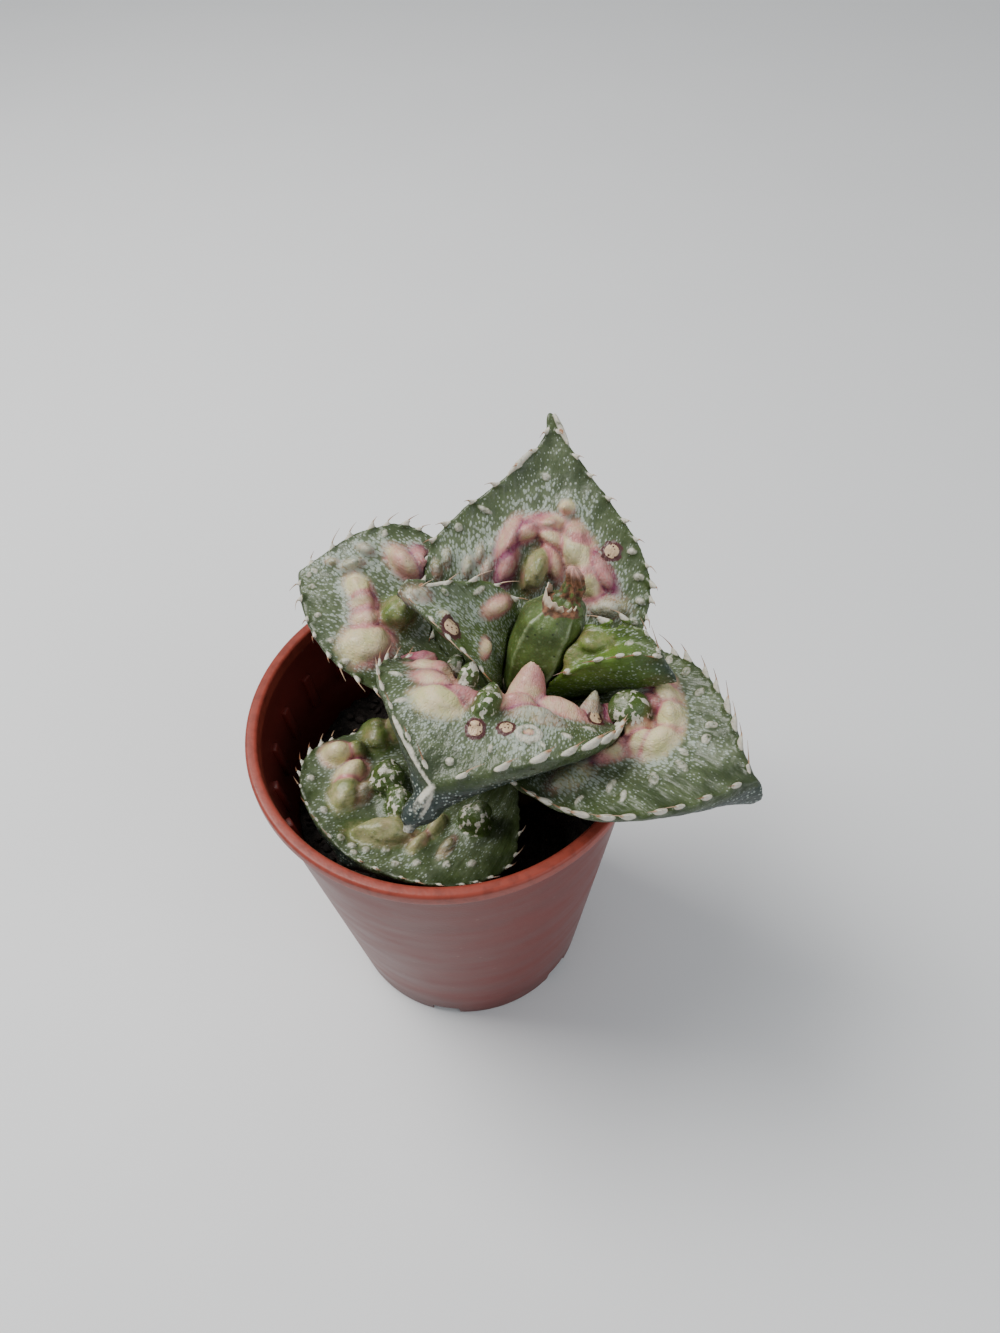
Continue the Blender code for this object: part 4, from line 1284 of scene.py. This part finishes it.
def boolean_round(thing, operation, size, bevel, count, start, seat):
    """Adds a row of bars with rounded edges round the pot's axis to a piece, or cuts it out of it."""
    bar = primitive("cube", size=1)
    bar.data.transform(Matrix.Diagonal((*size, 1)))
    modify(bar, "BEVEL", width=bevel, segments=3)
    row = bpy.data.collections.new("row")
    bpy.context.scene.collection.children.link(row)
    for number in range(count):
        turn = Matrix.Rotation(math.radians(start + 360 * number / count), 4, "Z")
        row.objects.link(copy_of(bar, turn @ seat))
    modify(thing, "BOOLEAN", operation=operation, operand_type="COLLECTION", collection=row)
    remove(bar, *list(row.objects))
    bpy.data.collections.remove(row)


def build_pot():
    """The tapered wall and its lip in one turned profile, then the ribs and the drain notches."""
    own = bpy.context.scene.jaws_pot
    wall, rib = own.wall / MM, own.rib_depth / MM
    inner_top = RIM_RADIUS - LIP_WIDTH
    profile = [(outer_radius(0) - FOOT_ROUND, 0.0)]
    profile += rounded_corner((outer_radius(FOOT_ROUND) - FOOT_ROUND, FOOT_ROUND), FOOT_ROUND, -70, 0)
    profile += [(outer_radius(height), height) for height in (6, 14, 22, 30, 38, 46, 52, LIP_FOOT - 0.1)]
    profile += rounded_corner((RIM_RADIUS - LIP_UNDERCUT, LIP_FOOT + LIP_UNDERCUT), LIP_UNDERCUT, -80, 0)
    profile += rounded_corner((RIM_RADIUS - LIP_ROUND, POT_HEIGHT - LIP_ROUND), LIP_ROUND, 0, 90)
    profile += rounded_corner((inner_top + LIP_ROUND, POT_HEIGHT - LIP_ROUND), LIP_ROUND, 90, 180)
    profile += [(outer_radius(height) - wall, height) for height in (RIB_HIGH, RIB_LOW, 34, 22, 10, 3)]
    floor_corner = (outer_radius(FLOOR) - wall - FLOOR_ROUND, FLOOR + FLOOR_ROUND)
    profile += rounded_corner(floor_corner, FLOOR_ROUND, 0, -80)
    pot = raise_profile("fine_pot", profile, POT_SEGMENTS)
    middle = (RIB_LOW + RIB_HIGH) / 2
    lean = Matrix.Rotation(math.atan2(outer_radius(1) - outer_radius(0), 1), 4, "Y")
    seat = Matrix.Translation((outer_radius(middle) - wall - (rib - RIB_SUNK) / 2, 0, middle)) @ lean
    size = (rib + RIB_SUNK, own.rib_width / MM, RIB_HIGH - RIB_LOW)
    boolean_round(pot, "UNION", size, 0.25, own.rib_count, 0, seat)
    seat = Matrix.Translation((BASE_RADIUS, 0, 0))
    size = (NOTCH_DEPTH, own.notch_width / MM, own.notch_height / MM * 2)
    boolean_round(pot, "DIFFERENCE", size, 0.4, own.notch_count, NOTCH_START, seat)
    return pot


def soil_height(x, y):
    """The lumpy top of the peat, in millimetres, at a place in millimetres."""
    rough = bpy.context.scene.jaws_soil.roughness / MM
    place = Vector((x, y, 0))
    lump = noise.fractal(place / 5.0, 0.9, 2.1, 5) + 0.35 * noise.noise(place / 1.1)
    return SOIL_LEVEL + rough * lump * 0.8


def build_soil(egg):
    """A square grid drawn into a disc, roughened on top and carried down to the pot's floor."""
    own = bpy.context.scene.jaws_soil
    inset = bpy.context.scene.jaws_pot.wall / MM
    low = SOIL_BOX[0].z / MM
    top_radius, low_radius = (outer_radius(level) - inset - SOIL_GAP for level in (SOIL_LEVEL, low))
    soil = primitive("grid", x_subdivisions=SOIL_CELLS, y_subdivisions=SOIL_CELLS, size=2)
    for vert in soil.data.vertices:
        x = vert.co.x * math.sqrt(1 - vert.co.y**2 / 2) * top_radius
        y = vert.co.y * math.sqrt(1 - vert.co.x**2 / 2) * top_radius
        vert.co = Vector((x, y, soil_height(x, y))) * MM
    bpy.ops.object.mode_set(mode="EDIT")
    bpy.ops.mesh.select_mode(type="EDGE")
    bpy.ops.mesh.select_all(action="DESELECT")
    bpy.ops.mesh.select_non_manifold()
    bpy.ops.mesh.extrude_region_move(TRANSFORM_OT_translate={"value": (0, 0, -5 * MM)})
    object_mode()
    share = low_radius / top_radius
    for vert in soil.data.vertices:
        if vert.select:
            vert.co = Vector((vert.co.x * share, vert.co.y * share, low * MM))
    bpy.ops.object.mode_set(mode="EDIT")
    bpy.ops.mesh.edge_face_add()
    face_out(soil)
    rng = random.Random(SEED)
    crumbs = []
    for _ in range(own.crumbs):
        turn, reach = rng.uniform(0, math.tau), (top_radius - 1.2) * math.sqrt(rng.random())
        x, y = reach * math.cos(turn), reach * math.sin(turn)
        if math.hypot(x - STEM_PLACE[0], y - STEM_PLACE[1]) < STEM_KEEP_OUT:
            continue
        size = own.crumb / MM * rng.uniform(0.25, 1) ** 1.5
        stretch = Matrix.Diagonal((size * rng.uniform(0.7, 1.4), size, size * rng.uniform(0.5, 0.9), 1))
        spin = Euler([rng.uniform(0, math.tau) for _ in range(3)]).to_matrix().to_4x4()
        seat = Matrix.Translation((x, y, soil_height(x, y) + size * 0.2))
        crumbs.append(copy_of(egg, seat @ spin @ stretch))
    return join([soil] + crumbs, "fine_soil")


def build_stem():
    """A short stem, ringed where old leaves sat."""
    low, high = STEM_BOX[0].z / MM, STEM_BOX[1].z / MM
    radius = (STEM_BOX[1].x - STEM_BOX[0].x) / 2 / MM
    profile = []
    for ring in range(STEM_RINGS + 1):
        height = low + (high - low) * ring / STEM_RINGS
        waist = 0.93 + 0.05 * math.sin(height * 2.1) + 0.02 * math.sin(height * 5.3)
        profile.append((radius * waist, height))
    stem = raise_profile("fine_stem", profile, 48)
    centre = (STEM_BOX[0] + STEM_BOX[1]) / 2
    stem.data.transform(Matrix.Translation((centre.x, centre.y, 0)))
    return stem


def clamp(value):
    return max(0, min(1, value))


def bud_radius(s):
    """Stout up to its dry collar, then a narrow beak."""
    for (low, first), (high, second) in zip(BUD_OUTLINE, BUD_OUTLINE[1:]):
        if s <= high:
            share = (s - low) / (high - low)
            return first + (second - first) * (3 - 2 * share) * share**2
    return BUD_OUTLINE[-1][1]


def bud_point(s, turn, radius):
    """A point of the bud, turned from its viewer's side, whose beak stands to the right of its shoulder."""
    axis = (Vector(BUD_TIP) - Vector(BUD_BASE)).normalized()
    toward = Vector((-0.4, -1, 0))
    first = (toward - axis * toward.dot(axis)).normalized()
    second = axis.cross(first)
    spine = Vector(BUD_BASE).lerp(Vector(BUD_TIP), s)
    share = clamp((s - 0.55) / 0.25)
    aside = 1.3 * share * share * (3 - 2 * share) * min(1, (1 - s) / 0.15)
    across = first * math.cos(turn) + second * math.sin(turn)
    return spine + across * radius + Vector((aside, 0.3 * aside, 0))


def build_bud():
    """A keeled pod that narrows to a grooved beak."""
    pod = ball(100, 90)
    ridge, dry, beak, points = [], [], [], []
    for vert in pod.data.vertices:
        s = 1 - math.acos(max(-1, min(1, vert.co.z))) / math.pi
        turn = math.atan2(vert.co.y, vert.co.x)
        corner = (0.5 + 0.5 * math.cos(BUD_CORNERS * turn + math.pi)) ** 8
        narrow = clamp((s - 0.70) / 0.07)
        crinkle = noise.noise(Vector((3 * math.cos(turn), 3 * math.sin(turn), s * 20)))
        groove = 0.16 * math.cos(BEAK_GROOVES * turn + s * 14) + 0.12 * crinkle
        radius = bud_radius(s) * (0.97 + 0.09 * corner * (1 - narrow) + groove * narrow)
        radius *= min(1, s / 0.02) * min(1, (1 - s) / 0.02)
        points.append(bud_point(s, turn, radius))
        ridge.append(corner * min(1, s * 3) * (1 - narrow))
        ring = math.exp(-(((s - COLLAR - 0.012 * math.sin(3 * turn)) / 0.03) ** 2))
        ring *= 0.5 + 0.5 * math.cos(turn + 0.4)
        dry.append(max(ring, 0.52 * narrow, clamp((s - 0.82) / 0.08)))
        beak.append(max(0, (s - 0.88) / 0.12))
    set_coordinates(pod, np.array(points))
    set_attributes(pod, {"ridge": ridge, "dry": dry, "beak": beak})
    face_out(pod)
    pod.name = "fine_bud"
    return pod


def build_collar():
    """A thin torn skin that stands out round the beak's foot, widest on the left."""
    collar = primitive("grid", x_subdivisions=72, y_subdivisions=8, size=2)
    points, torn = [], []
    for vert in collar.data.vertices:
        turn = vert.co.x * math.pi * 0.62 - 0.8
        up = (vert.co.y + 1) / 2
        rag = noise.noise(Vector((math.cos(turn), math.sin(turn), 0)) * 4.3)
        middle = math.cos(vert.co.x * math.pi / 2)
        s = COLLAR_LOW + (COLLAR_HIGH - COLLAR_LOW) * up * (0.4 + 0.5 * middle + 0.7 * rag)
        radius = bud_radius(COLLAR_LOW) * (1 - up) + bud_radius(BEAK_FOOT) * up
        radius += 0.6 * up - 0.4 + up * (0.3 + 1.6 * middle + 0.8 * rag) * middle
        points.append(bud_point(s, turn, radius))
        torn.append(clamp((up - 0.25 - 0.3 * (turn > -0.5)) / 0.35))
    set_coordinates(collar, np.array(points))
    none, all_over = np.zeros(len(torn)), np.ones(len(torn))
    set_attributes(collar, {"ridge": none, "dry": all_over, "beak": none, "torn": torn})
    modify(collar, "SOLIDIFY", thickness=COLLAR_SKIN * MM)
    return collar


# Operators


class TIGERJAWS_OT_pot(bpy.types.Operator):
    """Builds the nursery pot with its ribs and drain notches"""

    bl_idname = "tiger_jaws.pot"
    bl_label = "Pot"

    def execute(self, context):
        finish_piece(build_pot(), pot_surface(), "pot")
        return {"FINISHED"}


class TIGERJAWS_OT_soil(bpy.types.Operator):
    """Builds the lumpy peat with its loose crumbs"""

    bl_idname = "tiger_jaws.soil"
    bl_label = "Peat"

    def execute(self, context):
        crumb = ball(7, 5)
        finish_piece(build_soil(crumb), peat_surface(), "soil")
        remove(crumb)
        return {"FINISHED"}


class TIGERJAWS_OT_plant(bpy.types.Operator):
    """Builds the stem, the bud and the leaves, each cut clear of the pieces above it"""

    bl_idname = "tiger_jaws.plant"
    bl_label = "Stem, bud and leaves"

    def execute(self, context):
        above = bpy.data.collections.new("above")
        context.scene.collection.children.link(above)
        gap = context.scene.jaws_leaf.clearance
        stem, bud = build_stem(), build_bud()
        cut_clear(stem, above, gap)
        cut_clear(bud, above, gap)
        bud = join([bud, build_collar()], "fine_bud")
        finish_piece(stem, stem_surface(), "stem")
        finish_piece(bud, bud_surface(), "bud")
        eggs = [ball(*EGG_CELLS)] + [lumpy_ball(number) for number in range(1, 5)]
        cone = spike(24, 8, lambda up: (1 - up**1.3) ** 0.85 + 0.02)
        round_ring = {"major_radius": RING_RADIUS, "minor_radius": 1 - RING_RADIUS}
        ring = primitive("torus", major_segments=32, minor_segments=12, **round_ring)
        forms = {"eggs": eggs, "cone": cone, "ring": ring}
        tooth = spike(14, 7, lambda up: (1 - up) ** 0.65 + 0.04)
        for leaf in LEAVES:
            made = build_leaf(leaf, forms, tooth)
            cut_clear(made, above, gap)
            remesh(made, context.scene.jaws_leaf.detail, 1)
            swell(made, 1.1, 0.09)
            paint_leaf(leaf, made)
            finish_piece(made, leaf_skin(leaf), leaf.name)
        remove(*eggs, cone, ring, tooth, *list(above.objects))
        bpy.data.collections.remove(above)
        return {"FINISHED"}


class TIGERJAWS_OT_hairs(bpy.types.Operator):
    """Adds the fine hairs that the teeth end in"""

    bl_idname = "tiger_jaws.hairs"
    bl_label = "Hairs"

    def execute(self, context):
        hair = spike(5, 6, lambda up: 1 - 0.8 * up)
        surface = hair_surface()
        for leaf in LEAVES:
            finish_piece(hairs(leaf, hair, leaf.name.replace("leaf", "hairs")), surface, None)
        remove(hair)
        return {"FINISHED"}


def add_lamp(name, place, size, power, tint):
    """A square soft lamp that faces the plant."""
    lamp = bpy.data.lights.new(name, "AREA")
    lamp.shape = "SQUARE"
    lamp.size = size
    lamp.energy = power
    lamp.color = tint
    made = bpy.data.objects.new(name, lamp)
    made.location = place
    aim = Vector(LAMP_TARGET) - Vector(place)
    made.rotation_euler = aim.to_track_quat("-Z", "Y").to_euler()
    bpy.context.scene.collection.objects.link(made)


def add_camera():
    """The photograph's own view."""
    pitch, roll = math.radians(CAMERA_PITCH), math.radians(CAMERA_ROLL)
    forward = Vector((0, math.cos(pitch), -math.sin(pitch)))
    right = Vector((1, 0, 0))
    up = right.cross(forward)
    level = right * math.cos(roll) + up * math.sin(roll)
    upright = up * math.cos(roll) - right * math.sin(roll)
    lens = bpy.data.cameras.new("photo_view")
    lens.sensor_width = SENSOR
    lens.lens = SENSOR * FOCAL_PIXELS / IMAGE_LONG_SIDE
    lens.clip_start = 0.005
    view = bpy.data.objects.new("photo_view", lens)
    view.matrix_world = axes_matrix(Vector(CAMERA_PLACE), level, upright, -forward)
    bpy.context.scene.collection.objects.link(view)
    bpy.context.scene.camera = view


class TIGERJAWS_OT_stage(bpy.types.Operator):
    """Adds the pale floor, the soft lights and the camera"""

    bl_idname = "tiger_jaws.stage"
    bl_label = "Stage"

    def execute(self, context):
        own = context.scene.jaws_stage
        floor = primitive("plane", size=FLOOR_SIZE)
        floor.name = "floor"
        floor.data.materials.append(floor_surface())
        world = bpy.data.worlds.new("soft_sky")
        world.use_nodes = True
        sky = world.node_tree.nodes["Background"]
        sky.inputs["Color"].default_value = SKY
        sky.inputs["Strength"].default_value = SKY_STRENGTH
        context.scene.world = world
        add_lamp("key", KEY_PLACE, 0.30, own.key, WARM)
        add_lamp("fill", FILL_PLACE, 0.40, own.fill, COOL)
        add_camera()
        return {"FINISHED"}


OPERATORS = (
    TIGERJAWS_OT_pot,
    TIGERJAWS_OT_soil,
    TIGERJAWS_OT_plant,
    TIGERJAWS_OT_hairs,
    TIGERJAWS_OT_stage,
)


class VIEW3D_PT_tiger_jaws(bpy.types.Panel):
    """Lists the steps and their sizes"""

    bl_label = "Tiger Jaws"
    bl_space_type = "VIEW_3D"
    bl_region_type = "UI"
    bl_category = "Tiger Jaws"

    def draw(self, context):
        for operator in OPERATORS:
            self.layout.operator(operator.bl_idname)
        for name, group in SETTINGS.items():
            box = self.layout.box()
            box.label(text=group.__doc__)
            for setting in group.__annotations__:
                box.prop(getattr(context.scene, name), setting)


def register():
    for group in SETTINGS.values():
        bpy.utils.register_class(group)
    for name, group in SETTINGS.items():
        setattr(bpy.types.Scene, name, PointerProperty(type=group))
    for thing in (*OPERATORS, VIEW3D_PT_tiger_jaws):
        bpy.utils.register_class(thing)


def unregister():
    for thing in (VIEW3D_PT_tiger_jaws, *reversed(OPERATORS)):
        bpy.utils.unregister_class(thing)
    for name in SETTINGS:
        delattr(bpy.types.Scene, name)
    for group in SETTINGS.values():
        bpy.utils.unregister_class(group)


def main():
    register()
    bpy.ops.tiger_jaws.pot()
    bpy.ops.tiger_jaws.soil()
    bpy.ops.tiger_jaws.plant()
    bpy.ops.tiger_jaws.hairs()
    bpy.ops.tiger_jaws.stage()


if __name__ == "__main__":
    main()
